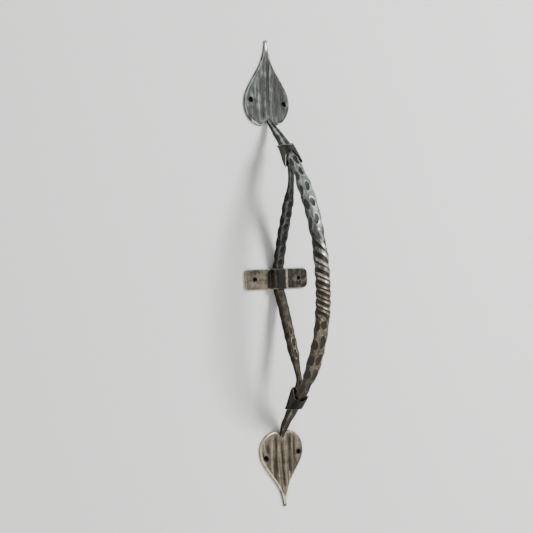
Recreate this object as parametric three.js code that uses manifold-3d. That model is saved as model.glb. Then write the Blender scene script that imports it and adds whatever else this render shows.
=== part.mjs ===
// A hand-forged iron door pull: a bowed grip bar with a leaf at each end, a rear bar that bows
// back to the door, two wrapped collars that bind the bars, and a saddle strap over the rear bar.
// Millimetres, +Z up along the pull. The door face is the plane y = 0, and the pull stands out
// from it towards -Y. The origin is the middle of the flat where the rear bar seats on the door.

import * as THREE from 'three';
import { mergeVertices } from 'three/addons/utils/BufferGeometryUtils.js';
import Module from 'manifold-3d';

const wasm = await Module();
wasm.setup();

const { clamp, lerp, smoothstep } = THREE.MathUtils;
const { Vector3 } = THREE;

// Bow of the grip bar's centre line, in the plane across the door
const bowReach = 86.8; // farthest from the door
const bowPeakZ = -8;
const upperBowRadius = 205;
const lowerBowRadius = 150;
const bowTopZ = 128; // the upper arc runs out into its stem here
const bowBottomZ = -106;
const stemShiftStart = 0.4; // share of a stem that stays straight before it moves to its leaf's middle
const gripSideShift = -1.2; // the grip stands a little left of the rear bar

// Section of the grip bar: half the width across its flats
const gripHalf = 6.7;
const neckHalf = 5.1; // drawn thinner inside the collars
const stemHalf = 3.4; // where the stem reaches its leaf
const rootHalf = 2.2; // where it has melted into the leaf
const rootFlatness = 0.45; // thickness of the melted end over its width
const neckTaperLength = 16; // from the neck to the full bar
const barSquareness = 3; // 2 is round, larger is squarer

// Incised and twisted middle of the grip bar
const twistTopZ = 56.5;
const twistBottomZ = -43.5;
const twistTurns = 3.25; // left-handed
const upperEase = 67; // length over which the twist tightens
const lowerEase = 10;
const twistHalf = 7.4; // the twisting has upset the bar a little
const twistSquareness = 2.5;
const grooveDepth = 1.1; // cut along two opposite corners of the bar
const incisionDepth = 0.6; // cut along the other two
const incisedTopZ = 42;
const incisedFade = 16; // the cuts run out over this length at the top

// Hammer marks
const hammerPitch = 9.7; // along a bar
const hammerRows = 8; // round a bar
const gripHammerDepth = 0.55;
const rearHammerDepth = 0.7;
const hammerHalfLength = 3.9;
const hammerHalfWidth = 2.7;

// Leaves
const upperLeaf = { tipZ: 245.5, length: 88, halfWidth: 27, sideShift: -4.2, tipLean: 1.7 };
const lowerLeaf = { tipZ: -234.2, length: 78, halfWidth: 26, sideShift: -2.7, tipLean: 2.2 };
const leanLength = 40; // the tip leans to the right over this length
const leafThickness = 3;
const leafRimThickness = 1.7;
const leafBevel = 3.2; // width of the thinned rim
const leafTipHalf = 1.3;
const stemLap = 13; // the stem runs on over the leaf by this much
const veinDepth = 0.9;
const veinHalfWidth = 2.1;
const leafHoleSpacing = 39.5;
const leafHoleDiameter = 3.6;
const leafSinkDiameter = 6.4;
const leafSinkDepth = 1.4;

// Rear bar
const rearHalf = 5.2;
const rearEndHalf = 2.9; // drawn thin where the collars hold it
const rearTipHalf = 2;
const seatCut = 0.4; // filed off the back where it seats on the door
const rearSquareness = 3;
const rearHoldZ = 12; // lies flat on the door this far either side of the strap

// Collars: wrapped sheet, level at the rim round the stem and open to the bars in a slanting
// mouth, which runs from a short lip in front to a heel at the door side. The lip is a peak
// between two cheeks, which reach farther along the bars the farther they are from it.
const collarWall = 1.5;
const upperCollar = { rimZ: 135, lipZ: 130, heelZ: 108, leftFall: 0.9, rightFall: 1.9, side: 1 };
const lowerCollar = { rimZ: -132.5, lipZ: -124.5, heelZ: -107, leftFall: 0.5, rightFall: 0.8, side: -1 };
const lipSideShift = -2; // the peak of the mouth stands a little left of the middle
const barGap = 0.4; // between the bars, and between a bar and its collar
const dressedGap = 0.3; // left where a collar's edge comes close to a bar

// Saddle strap
const strapThickness = 2.4;
const strapHeight = 21;
const leftTabReach = 38.2; // from the rear bar's middle to the tab's end
const rightTabReach = 37;
const tabBend = 1.2; // inside radius of the bends
const leftTabCorner = 3.2;
const rightTabCorner = 6;
const strapHoleInset = 11;
const strapHoleDiameter = 5;

const iron = (color, roughness, metalness) =>
  new THREE.MeshStandardMaterial({ color, roughness, metalness, flatShading: true });
const brushedIron = iron(0x5d6163, 0.48, 0.85);
const blackIron = iron(0x33332f, 0.55, 0.8);
const sheetIron = iron(0x3a3a34, 0.5, 0.8);
const strapIron = iron(0x55534c, 0.55, 0.75);

// Joins equal rings of points into one closed body, with a fan over each end. Each four-sided
// cell is split along its shorter diagonal, which keeps the edges of a twisted bar clean.
function loft(rings) {
  const count = rings[0].length;
  const points = rings.flat();
  const faces = [];
  for (let ring = 0; ring + 1 < rings.length; ring++) {
    for (let k = 0; k < count; k++) {
      const a = ring * count + k;
      const b = ring * count + ((k + 1) % count);
      const c = b + count;
      const d = a + count;
      if (points[a].distanceTo(points[c]) < points[b].distanceTo(points[d])) {
        faces.push([a, b, c], [a, c, d]);
      } else {
        faces.push([a, b, d], [b, c, d]);
      }
    }
  }
  const middle = (ring) => ring.reduce((sum, p) => sum.add(p), new Vector3()).divideScalar(count);
  const first = points.push(middle(rings[0])) - 1;
  const last = points.push(middle(rings.at(-1))) - 1;
  const lastRing = count * (rings.length - 1);
  for (let k = 0; k < count; k++) {
    const next = (k + 1) % count;
    faces.push([first, next, k], [last, lastRing + k, lastRing + next]);
  }
  const geometry = new THREE.BufferGeometry();
  const coordinates = points.flatMap((p) => [p.x, p.y, p.z]);
  geometry.setAttribute('position', new THREE.Float32BufferAttribute(coordinates, 3));
  geometry.setIndex(faces.flat());
  return geometry;
}

function toSolid(geometry) {
  const bare = geometry.clone();
  bare.deleteAttribute('normal');
  bare.deleteAttribute('uv');
  const merged = mergeVertices(bare, 1e-5);
  return new wasm.Manifold(new wasm.Mesh({
    numProp: 3,
    vertProperties: new Float32Array(merged.attributes.position.array),
    triVerts: new Uint32Array(merged.index.array),
  }));
}

function toMesh(name, solid, material) {
  const { vertProperties, triVerts } = solid.getMesh();
  const geometry = new THREE.BufferGeometry();
  geometry.setAttribute('position', new THREE.Float32BufferAttribute(vertProperties, 3));
  geometry.setIndex(Array.from(triVerts));
  geometry.computeVertexNormals();
  const mesh = new THREE.Mesh(geometry, material);
  mesh.name = name;
  return mesh;
}

// Eases from one value and slope to another over a length
function blendCurve(t, length, from, fromSlope, to) {
  const fromShare = 2 * t ** 3 - 3 * t ** 2 + 1;
  const slopeShare = t ** 3 - 2 * t ** 2 + t;
  return fromShare * from + slopeShare * length * fromSlope + (1 - fromShare) * to;
}

const rootZ = (leaf) => leaf.tipZ - Math.sign(leaf.tipZ) * (leaf.length - stemLap);

// Distance of the grip's centre line from the door at height z: two arcs that meet at the peak,
// and beyond them a stem at each end that bends over and melts into the middle of its leaf
function gripOut(z) {
  const arc = (at, radius) => {
    const rise = Math.sqrt(radius ** 2 - (at - bowPeakZ) ** 2);
    return { out: bowReach - radius + rise, slope: -(at - bowPeakZ) / rise };
  };
  const radius = z > bowPeakZ ? upperBowRadius : lowerBowRadius;
  if (z <= bowTopZ && z >= bowBottomZ) return arc(z, radius).out;
  const joinZ = z > bowTopZ ? bowTopZ : bowBottomZ;
  const leaf = z > bowTopZ ? upperLeaf : lowerLeaf;
  const join = arc(joinZ, radius);
  const length = rootZ(leaf) - joinZ;
  const t = clamp((z - joinZ) / length, 0, 1);
  return blendCurve(t, length, join.out, join.slope, leafThickness * 0.6);
}

function gripCentre(z) {
  const joinZ = z > 0 ? bowTopZ : bowBottomZ;
  const leaf = z > 0 ? upperLeaf : lowerLeaf;
  const along = smoothstep((z - joinZ) / (rootZ(leaf) - joinZ), stemShiftStart, 1);
  return new Vector3(lerp(gripSideShift, leaf.sideShift, along), -gripOut(z), z);
}

// Sideways and outward directions of a bar whose centre line is centre(z)
function frameAt(centre, z) {
  const step = 0.1;
  const along = centre(z + step).sub(centre(z - step)).normalize();
  const side = new Vector3(1, 0, 0).addScaledVector(along, -along.x).normalize();
  return { middle: centre(z), side, out: side.clone().cross(along) };
}

const place = ({ middle, side, out }, x, y) =>
  middle.clone().addScaledVector(side, x).addScaledVector(out, y);

// Radius of a square with rounded corners, in the direction of an angle
function roundedSquare(angle, half, squareness) {
  const across = Math.abs(Math.cos(angle)) ** squareness;
  const outward = Math.abs(Math.sin(angle)) ** squareness;
  return half / (across + outward) ** (1 / squareness);
}

// Depth of the oval hammer marks, in rows round the bar, each row half a pitch off its neighbour
function hammerMark(angle, along, half) {
  const rowAngle = (2 * Math.PI) / hammerRows;
  const row = Math.round(angle / rowAngle);
  const across = ((angle - row * rowAngle) * half) / hammerHalfWidth;
  const shifted = along / hammerPitch + (row % 2 === 0 ? 0 : 0.5);
  const lengthwise = ((shifted - Math.round(shifted)) * hammerPitch) / hammerHalfLength;
  return Math.max(0, 1 - across ** 2 - lengthwise ** 2);
}

// The twist tightens over the upper ease, holds its lead, and slackens over the lower ease
function turnsBelow(z) {
  const length = twistTopZ - twistBottomZ;
  const lead = (length - upperEase / 2 - lowerEase / 2) / twistTurns;
  const down = clamp(twistTopZ - z, 0, length);
  if (down < upperEase) return down ** 2 / (2 * upperEase * lead);
  if (down < length - lowerEase) return (down - upperEase / 2) / lead;
  return twistTurns - (length - down) ** 2 / (2 * lowerEase * lead);
}

// Depth of the cuts at one of the points round the bar: a groove three points wide along two
// opposite corners, and a line along the other two
const gripSides = 24;
function cutDepth(k) {
  const point = k % (gripSides / 2);
  const groove = (gripSides * 3) / 8;
  const line = gripSides / 8;
  if (Math.abs(point - groove) < 2) return grooveDepth;
  return point === line ? incisionDepth : 0;
}

// Half width of the grip bar at height z, without the twist
function gripHalfAt(z) {
  const leaf = z > 0 ? upperLeaf : lowerLeaf;
  const collar = z > 0 ? upperCollar : lowerCollar;
  const height = Math.abs(z);
  const root = Math.abs(rootZ(leaf));
  const rim = Math.abs(collar.rimZ);
  const heel = Math.abs(collar.heelZ);
  if (height > root - stemLap) return lerp(stemHalf, rootHalf, (height - root + stemLap) / stemLap);
  if (height > rim) return lerp(neckHalf, stemHalf, (height - rim) / (root - stemLap - rim));
  return lerp(neckHalf, gripHalf, smoothstep(heel - height, 0, neckTaperLength));
}

function gripFlatnessAt(z) {
  const root = Math.abs(rootZ(z > 0 ? upperLeaf : lowerLeaf));
  return lerp(1, rootFlatness, smoothstep(Math.abs(z), root - 1.5 * stemLap, root));
}

// Heights of the grip's sections from the top down, with the length along the bar
function gripStations() {
  const lead = (twistTopZ - twistBottomZ - upperEase / 2 - lowerEase / 2) / twistTurns;
  const longStep = hammerPitch / 3;
  const shortStep = lead / 14;
  const stations = [];
  let along = 0;
  let z = rootZ(upperLeaf);
  while (z > rootZ(lowerLeaf)) {
    stations.push({ z, along });
    const rate = (turnsBelow(z - 1) - turnsBelow(z)) * lead;
    const step = lerp(longStep, shortStep, smoothstep(rate, 0, 0.8));
    const slope = (gripOut(z) - gripOut(z - 0.5)) / 0.5;
    z -= step / Math.hypot(1, slope);
    along += step;
  }
  stations.push({ z: rootZ(lowerLeaf), along });
  return stations;
}

// The bar's section turns with the twist, and so do the cuts along its corners
function gripRings(grow) {
  return gripStations().map(({ z, along }) => {
    const frame = frameAt(gripCentre, z);
    const turn = -2 * Math.PI * turnsBelow(z);
    const incising = smoothstep(z, twistBottomZ, twistBottomZ + lowerEase / 2)
      * (1 - smoothstep(z, incisedTopZ - incisedFade, incisedTopZ));
    const half = gripHalfAt(z);
    const flatness = gripFlatnessAt(z);
    const hammered = gripHammerDepth * smoothstep(half, neckHalf, gripHalf) * (1 - incising);
    return Array.from({ length: gripSides }, (_, k) => {
      const face = (k * 2 * Math.PI) / gripSides;
      const angle = face + turn;
      const plain = roundedSquare(face, half, barSquareness) - hammered * hammerMark(angle, along, half);
      const twisted = roundedSquare(face, twistHalf, twistSquareness) - cutDepth(k);
      const radius = lerp(plain, twisted, incising) + grow;
      return place(frame, radius * Math.cos(angle), radius * Math.sin(angle) * flatness);
    });
  });
}

// Outline of half a leaf from its tip to the stem: a hollow flank, a full belly and a round lobe.
// Across is a share of the half width, down is a share of the length.
function leafOutline({ length, halfWidth }) {
  const flank = new THREE.CubicBezierCurve(
    new THREE.Vector2(leafTipHalf / halfWidth, 0),
    new THREE.Vector2(0.11, 0.27),
    new THREE.Vector2(0.41, 0.35),
    new THREE.Vector2(0.74, 0.515));
  const belly = new THREE.CubicBezierCurve(
    new THREE.Vector2(0.74, 0.515),
    new THREE.Vector2(0.93, 0.61),
    new THREE.Vector2(1, 0.665),
    new THREE.Vector2(1, 0.745));
  const lobe = new THREE.CubicBezierCurve(
    new THREE.Vector2(1, 0.745),
    new THREE.Vector2(1, 0.87),
    new THREE.Vector2(0.74, 0.985),
    new THREE.Vector2(0.3, 1));
  const half = [flank.getPoints(7), belly.getPoints(4), lobe.getPoints(7)]
    .flatMap((points, i) => (i === 0 ? points : points.slice(1)))
    .map((p) => new THREE.Vector2(p.x * halfWidth, p.y * length));
  const notch = new THREE.Vector2(0, 0.955 * length);
  const mirrored = half.map((p) => new THREE.Vector2(-p.x, p.y)).reverse();
  return [...half, notch, ...mirrored];
}

// Moves each point of an outline inwards, but never across the middle of the leaf
function insetOutline(outline, width) {
  return outline.map((p, i) => {
    const before = outline.at(i - 1);
    const after = outline[(i + 1) % outline.length];
    const normal = new THREE.Vector2(before.y - after.y, after.x - before.x).normalize();
    const across = clamp(normal.x * width, -0.6 * Math.abs(p.x), 0.6 * Math.abs(p.x));
    return new THREE.Vector2(p.x + across, p.y + normal.y * width);
  });
}

function leafSolid(leaf) {
  const direction = Math.sign(leaf.tipZ);
  const outline = leafOutline(leaf);
  const inner = insetOutline(outline, leafBevel);
  const ring = (points, out) => points.map((p) => {
    const lean = leaf.tipLean * (1 - smoothstep(p.y, 0, leanLength));
    return new Vector3(leaf.sideShift + lean + p.x, -out, leaf.tipZ - direction * p.y);
  });
  const rings = [ring(outline, 0), ring(outline, leafRimThickness), ring(inner, leafThickness)];
  return toSolid(loft(direction > 0 ? rings.reverse() : rings));
}

// A long shallow stroke of the fuller, cut into the front of a leaf
function veinCutter(leaf, across, from, to) {
  const half = ((to - from) * leaf.length) / 2;
  const cutter = new THREE.SphereGeometry(1, 8, 14).rotateX(Math.PI / 2);
  cutter.scale(veinHalfWidth, veinDepth, half);
  const middle = leaf.tipZ - Math.sign(leaf.tipZ) * ((from + to) / 2) * leaf.length;
  cutter.translate(leaf.sideShift + across * leaf.halfWidth, -leafThickness, middle);
  return toSolid(cutter);
}

// A screw hole with its countersink, open towards -Y
function countersunkHole(x, z) {
  const overrun = 1;
  const hole = leafHoleDiameter / 2;
  const sink = leafSinkDiameter / 2;
  const profile = [
    [0, -overrun],
    [hole, -overrun],
    [hole, leafThickness - leafSinkDepth],
    [sink, leafThickness],
    [sink, leafThickness + overrun],
    [0, leafThickness + overrun],
  ].map(([radius, height]) => new THREE.Vector2(radius, height));
  const cutter = new THREE.LatheGeometry(profile, 16);
  cutter.rotateX(Math.PI);
  cutter.translate(x, 0, z);
  return toSolid(cutter);
}

function cutLeaf(leaf, veins, holes) {
  let solid = leafSolid(leaf);
  for (const [across, from, to] of veins) solid = solid.subtract(veinCutter(leaf, across, from, to));
  for (const [side, down] of holes) {
    const z = leaf.tipZ - Math.sign(leaf.tipZ) * down * leaf.length;
    solid = solid.subtract(countersunkHole(leaf.sideShift + (side * leafHoleSpacing) / 2, z));
  }
  return solid;
}

function gripBar() {
  // Veins: place across, and where they start and end, as shares of the leaf
  const upper = cutLeaf(
    upperLeaf,
    [[-0.24, 0.4, 0.97], [0.04, 0.2, 0.94], [0.36, 0.42, 0.95], [0.68, 0.53, 0.9], [-0.52, 0.62, 0.95]],
    [[-1, 0.7], [1, 0.745]]);
  const lower = cutLeaf(
    lowerLeaf,
    [[-0.3, 0.4, 0.97], [0.02, 0.22, 0.9], [0.32, 0.42, 0.98], [0.58, 0.5, 0.97], [-0.66, 0.66, 0.9]],
    [[-1, 0.655], [1, 0.7]]);
  return toSolid(loft(gripRings(0))).add(upper).add(lower);
}

// A point beside the grip bar, on its door side, where the rear bar lies against it
function besideGrip(z) {
  const frame = frameAt(gripCentre, z);
  return place(frame, 0, -(neckHalf + barGap + rearEndHalf));
}

// The stretch of the rear bar that a collar holds, as shares of the way from its rim to its heel
const heldShares = [0.42, 0.51, 0.6];
const heldPoints = ({ rimZ, heelZ }) => heldShares.map((share) => besideGrip(lerp(rimZ, heelZ, share)));

// Route of the rear bar from its upper end, held in the collar, down to the door and out again
const rearRoute = new THREE.CatmullRomCurve3([
  ...heldPoints(upperCollar),
  new Vector3(0, -35.6, 103),
  new Vector3(0, -33.4, 91),
  new Vector3(0, -24, 65.5),
  new Vector3(0, -13.6, 40),
  new Vector3(0, -9.2, 26),
  new Vector3(0, -6.6, 18),
  new Vector3(0, seatCut - rearHalf, rearHoldZ),
  new Vector3(0, seatCut - rearHalf, -rearHoldZ),
  new Vector3(0, -7, -18),
  new Vector3(0, -10.2, -26),
  new Vector3(0, -14.8, -39),
  new Vector3(0, -24.2, -66),
  new Vector3(0, -33, -92),
  new Vector3(0, -35.6, -103),
  ...heldPoints(lowerCollar).reverse(),
]);

function rearRings(grow) {
  const sides = 16;
  const length = rearRoute.getLength();
  const steps = Math.round((length / hammerPitch) * 3);
  return Array.from({ length: steps + 1 }, (_, i) => {
    const middle = rearRoute.getPointAt(i / steps);
    const along = rearRoute.getTangentAt(i / steps);
    const side = new Vector3(1, 0, 0).addScaledVector(along, -along.x).normalize();
    const frame = { middle, side, out: along.clone().cross(side) };
    const fromEnd = length * (0.5 - Math.abs(i / steps - 0.5));
    const drawn = lerp(rearEndHalf, rearHalf, smoothstep(fromEnd, 22, 48));
    const half = lerp(rearTipHalf, drawn, smoothstep(fromEnd, 0, 8));
    const underStrap = 1 - smoothstep(Math.abs(middle.z), strapHeight / 2, strapHeight / 2 + 4);
    const hammered = rearHammerDepth * smoothstep(half, rearEndHalf, rearHalf) * (1 - underStrap);
    return Array.from({ length: sides }, (__, k) => {
      const angle = (k * 2 * Math.PI) / sides;
      const mark = hammerMark(angle, (i * length) / steps, half);
      const radius = roundedSquare(angle, half, rearSquareness) - hammered * mark + grow;
      const point = place(frame, radius * Math.cos(angle), radius * Math.sin(angle));
      point.y = Math.min(point.y, 0);
      return point;
    });
  });
}

// Section of a collar at height z on the grip: round the grip in front, round the rear bar behind.
// Behind, it closes in on the stem towards the rim, past the end of the rear bar.
function collarRing(z, spec, grow) {
  const sides = 20;
  const frame = frameAt(gripCentre, z);
  const barEnd = lerp(spec.rimZ, spec.heelZ, heldShares[0]);
  const closing = clamp((z - barEnd) / (spec.rimZ - barEnd), 0, 1);
  const rearShift = (1 - closing) * (neckHalf + barGap + rearEndHalf);
  const rearSize = lerp(rearEndHalf, neckHalf, closing) + grow;
  return Array.from({ length: sides }, (_, k) => {
    const angle = (k * 2 * Math.PI) / sides;
    const inFront = Math.sin(angle) >= -1e-9;
    const radius = roundedSquare(angle, inFront ? neckHalf + grow : rearSize, barSquareness);
    const behind = inFront ? 0 : rearShift;
    return place(frame, radius * Math.cos(angle), radius * Math.sin(angle) - behind);
  });
}

// A block as wide as asked, whose outline across the door is given as points out and up. It
// leans: every millimetre to the right lifts it by its rise.
function sideBlock(outline, fromX, width, rise) {
  const shape = new THREE.Shape(outline.map(([out, z]) => new THREE.Vector2(out, z)));
  const block = new THREE.ExtrudeGeometry(shape, { depth: width, bevelEnabled: false });
  const turn = new THREE.Matrix4().makeBasis(
    new Vector3(0, -1, 0), new Vector3(0, 0, 1), new Vector3(-1, 0, -rise));
  return toSolid(block.applyMatrix4(turn).translate(fromX + width, 0, 0));
}

function collar(spec) {
  const { rimZ, lipZ, heelZ, leftFall, rightFall, side } = spec;
  const steps = 9;
  const overrun = 9;
  const sleeve = (grow) => {
    const rings = Array.from({ length: steps + 1 }, (_, i) =>
      collarRing(lerp(rimZ + side * overrun, heelZ + side * 2, i / steps), spec, grow));
    return toSolid(loft(side > 0 ? rings : rings.reverse()));
  };
  const width = 30;
  const farOut = gripOut(lipZ) + width;
  const lipOut = gripOut(lipZ) + neckHalf + collarWall;
  const heelOut = -besideGrip(lerp(rimZ, heelZ, heldShares.at(-1))).y - rearEndHalf - collarWall + 1;
  const midHeelZ = heelZ + side * leftFall * (neckHalf + barGap + collarWall);
  const beyondZ = rimZ + side * 2 * width * rightFall;
  const outline = [
    [-width, midHeelZ],
    [-width, beyondZ],
    [farOut, beyondZ],
    [farOut, lipZ],
    [lipOut, lipZ],
    [heelOut, midHeelZ],
  ];
  const left = sideBlock(outline, lipSideShift - width, width, side * leftFall);
  const right = sideBlock(outline, lipSideShift, width, -side * rightFall)
    .translate(0, 0, -side * rightFall * width);
  const belowRim = new THREE.BoxGeometry(2 * width, 8 * width, Math.abs(rimZ)).translate(0, 0, rimZ / 2);
  return sleeve(barGap + collarWall)
    .subtract(sleeve(barGap))
    .intersect(left.add(right))
    .intersect(toSolid(belowRim))
    .subtract(toSolid(loft(rearRings(dressedGap))))
    .subtract(toSolid(loft(gripRings(dressedGap))));
}

// A closed outline with each corner eased by its own distance
function easedShape(corners) {
  const shape = new THREE.Shape();
  corners.forEach(([x, y, ease], i) => {
    const here = new THREE.Vector2(x, y);
    const [beforeX, beforeY] = corners.at(i - 1);
    const [afterX, afterY] = corners[(i + 1) % corners.length];
    const towards = (ox, oy) => new THREE.Vector2(ox, oy).sub(here).setLength(ease).add(here);
    const start = towards(beforeX, beforeY);
    const end = towards(afterX, afterY);
    if (i === 0) shape.moveTo(start.x, start.y);
    else shape.lineTo(start.x, start.y);
    if (ease > 0) shape.quadraticCurveTo(x, y, end.x, end.y);
  });
  return shape;
}

function saddleStrap() {
  const inner = rearHalf + barGap;
  const outer = inner + strapThickness;
  const crest = 2 * rearHalf - seatCut + barGap;
  const top = crest + strapThickness;
  const t = strapThickness;
  const bend = tabBend + strapThickness;
  const profile = easedShape([
    [-leftTabReach, 0, 0],
    [-inner, 0, bend],
    [-inner, crest, tabBend],
    [inner, crest, tabBend],
    [inner, 0, bend],
    [rightTabReach, 0, 0],
    [rightTabReach, t, 0],
    [outer, t, tabBend],
    [outer, top, bend],
    [-outer, top, bend],
    [-outer, t, tabBend],
    [-leftTabReach, t, 0],
  ]);
  const bent = new THREE.ExtrudeGeometry(profile, {
    depth: strapHeight,
    bevelEnabled: false,
    curveSegments: 4,
  });
  bent.rotateX(Math.PI).translate(0, 0, strapHeight / 2);
  const up = strapHeight / 2;
  const face = easedShape([
    [-leftTabReach, -up, leftTabCorner],
    [rightTabReach, -up, rightTabCorner],
    [rightTabReach, up, rightTabCorner],
    [-leftTabReach, up, leftTabCorner],
  ]);
  const blank = new THREE.ExtrudeGeometry(face, { depth: top + 2, bevelEnabled: false, curveSegments: 6 });
  blank.rotateX(Math.PI / 2).translate(0, 1, 0);
  const hole = (x) => toSolid(
    new THREE.CylinderGeometry(strapHoleDiameter / 2, strapHoleDiameter / 2, 4 * t, 18).translate(x, 0, 0));
  return toSolid(bent)
    .intersect(toSolid(blank))
    .subtract(hole(strapHoleInset - leftTabReach))
    .subtract(hole(rightTabReach - strapHoleInset));
}

const pull = new THREE.Group();
pull.add(
  toMesh('grip_bar', gripBar(), brushedIron),
  toMesh('rear_bar', toSolid(loft(rearRings(0))), blackIron),
  toMesh('collar_upper', collar(upperCollar), sheetIron),
  toMesh('collar_lower', collar(lowerCollar), sheetIron),
  toMesh('saddle_strap', saddleStrap(), strapIron),
);

export default pull;
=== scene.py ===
# %% [markdown]
# # A forged iron door pull
#
# A smith made this pull from bar and sheet: a bowed grip with a twisted, incised middle and a
# leaf drawn out of each end, a rear bar that bows back to the door, two wrapped collars that
# bind the bars, and a strap saddled over the rear bar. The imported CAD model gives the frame:
# the door face is the plane y = 0, +Z runs up the pull, and the pull stands out towards -Y.

import math

import bpy
import numpy as np
from mathutils import Matrix, Vector, noise


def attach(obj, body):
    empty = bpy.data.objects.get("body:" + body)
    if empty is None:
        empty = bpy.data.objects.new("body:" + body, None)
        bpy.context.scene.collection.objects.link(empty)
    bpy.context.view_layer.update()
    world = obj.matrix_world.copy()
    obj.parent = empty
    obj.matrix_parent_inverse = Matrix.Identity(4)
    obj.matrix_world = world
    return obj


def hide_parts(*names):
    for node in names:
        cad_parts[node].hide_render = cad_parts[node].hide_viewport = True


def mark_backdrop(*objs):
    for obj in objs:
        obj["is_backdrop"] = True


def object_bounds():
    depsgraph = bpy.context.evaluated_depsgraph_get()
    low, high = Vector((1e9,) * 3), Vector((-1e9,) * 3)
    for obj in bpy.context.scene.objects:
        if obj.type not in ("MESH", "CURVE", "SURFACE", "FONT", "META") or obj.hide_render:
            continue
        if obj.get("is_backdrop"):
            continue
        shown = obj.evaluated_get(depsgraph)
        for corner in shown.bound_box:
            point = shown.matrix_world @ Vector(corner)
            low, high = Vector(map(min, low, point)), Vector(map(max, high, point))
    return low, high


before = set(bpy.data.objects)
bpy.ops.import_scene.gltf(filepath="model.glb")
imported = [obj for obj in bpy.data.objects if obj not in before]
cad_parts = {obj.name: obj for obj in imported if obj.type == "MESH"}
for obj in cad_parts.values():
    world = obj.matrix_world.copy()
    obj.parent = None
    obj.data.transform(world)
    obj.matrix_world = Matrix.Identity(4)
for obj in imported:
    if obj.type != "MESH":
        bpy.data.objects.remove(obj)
bpy.context.view_layer.update()
cad_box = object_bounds()
print("CAD box", [round(x, 4) for corner in cad_box for x in corner])

MM = 0.001

# %% [markdown]
# ## The camera
#
# The photograph looks at the pull from its left front, level with its middle, with a long lens
# and a slight tilt of the frame. A camera is an object like any other, so its place and its
# three axes go straight into its matrix. The lens comes from the size that the pull has in a
# frame 533 pixels wide.

# %% Camera
VIEW_AZIMUTH = math.radians(-32)
VIEW_DISTANCE = 1450
VIEW_ROLL = math.radians(2.23)
LOOK_AT = Vector((-1.2, 0, 7))
PIXELS_RIGHT = -8.5
PIXELS_UP = 5.5
MM_PER_PIXEL = 1.03
IMAGE_WIDTH = 533
SENSOR_WIDTH = 36


def photo_camera():
    ahead = Vector((-math.sin(VIEW_AZIMUTH), math.cos(VIEW_AZIMUTH), 0))
    level = Vector((math.cos(VIEW_AZIMUTH), math.sin(VIEW_AZIMUTH), 0))
    upright = Vector((0, 0, 1))
    right = level * math.cos(VIEW_ROLL) - upright * math.sin(VIEW_ROLL)
    up = level * math.sin(VIEW_ROLL) + upright * math.cos(VIEW_ROLL)
    place = LOOK_AT - ahead * VIEW_DISTANCE
    place += (PIXELS_UP * up + PIXELS_RIGHT * right) * MM_PER_PIXEL
    data = bpy.data.cameras.new("photo_camera")
    data.sensor_width = SENSOR_WIDTH
    data.lens = VIEW_DISTANCE / MM_PER_PIXEL * SENSOR_WIDTH / IMAGE_WIDTH
    camera = bpy.data.objects.new("photo_camera", data)
    axes = Matrix((right, up, -ahead)).transposed()
    camera.matrix_world = Matrix.Translation(place * MM) @ axes.to_4x4()
    bpy.context.scene.collection.objects.link(camera)
    return camera


bpy.context.scene.camera = photo_camera()
print("lens", round(bpy.context.scene.camera.data.lens, 1), "mm")

# %% [markdown]
# ## The line of the grip
#
# Everything on this pull follows the line of its bars, so that line comes first, with the same
# named sizes as the CAD model, in millimetres. Two arcs meet at the farthest point from the
# door, and beyond them a stem at each end bends over into the middle of its leaf.

# %% Line of the grip
BOW_REACH = 86.8
BOW_PEAK_Z = -8
UPPER_BOW_RADIUS = 205
LOWER_BOW_RADIUS = 150
BOW_TOP_Z = 128
BOW_BOTTOM_Z = -106
STEM_SHIFT_START = 0.4
GRIP_SIDE_SHIFT = -1.2
LEAF_THICKNESS = 3
STEM_LAP = 13
UPPER_LEAF = {"tip": 245.5, "length": 88, "half": 27, "shift": -4.2, "lean": 1.7}
LOWER_LEAF = {"tip": -234.2, "length": 78, "half": 26, "shift": -2.7, "lean": 2.2}


def ease(value, low, high):
    """Rises smoothly from 0 at low to 1 at high."""
    t = np.clip((value - low) / (high - low), 0, 1)
    return t * t * (3 - 2 * t)


def mix(a, b, share):
    return a + (b - a) * share


def bump_at(value, middle, width):
    """Rises to 1 at the middle, and is gone about two widths from it."""
    return np.exp(-(((value - middle) / width) ** 2))


def root_z(leaf):
    return leaf["tip"] - math.copysign(leaf["length"] - STEM_LAP, leaf["tip"])


def bow_arc(z, radius):
    rise = math.sqrt(radius**2 - (z - BOW_PEAK_Z) ** 2)
    return BOW_REACH - radius + rise, -(z - BOW_PEAK_Z) / rise


def grip_out(z):
    """Distance of the grip's centre line from the door at height z."""
    radius = UPPER_BOW_RADIUS if z > BOW_PEAK_Z else LOWER_BOW_RADIUS
    if BOW_BOTTOM_Z <= z <= BOW_TOP_Z:
        return bow_arc(z, radius)[0]
    join_z, leaf = (BOW_TOP_Z, UPPER_LEAF) if z > 0 else (BOW_BOTTOM_Z, LOWER_LEAF)
    out, slope = bow_arc(join_z, radius)
    length = root_z(leaf) - join_z
    t = min(max((z - join_z) / length, 0), 1)
    start = 2 * t**3 - 3 * t**2 + 1
    lean = t**3 - 2 * t**2 + t
    return start * out + lean * length * slope + (1 - start) * LEAF_THICKNESS * 0.6


def grip_middle(z):
    join_z, leaf = (BOW_TOP_Z, UPPER_LEAF) if z > 0 else (BOW_BOTTOM_Z, LOWER_LEAF)
    along = ease((z - join_z) / (root_z(leaf) - join_z), STEM_SHIFT_START, 1)
    return np.array([mix(GRIP_SIDE_SHIFT, leaf["shift"], along), -grip_out(z), z])


def unit(vectors):
    return vectors / np.linalg.norm(vectors, axis=-1, keepdims=True)


def bar_frame(middle, z):
    """Middle, sideways and outward directions of a bar at height z."""
    along = unit(middle(z + 0.1) - middle(z - 0.1))
    side = unit(np.array([1.0, 0, 0]) - along * along[0])
    return middle(z), side, np.cross(side, along)


print("the grip stands", round(grip_out(BOW_PEAK_Z), 1), "mm out at its peak")

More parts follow.
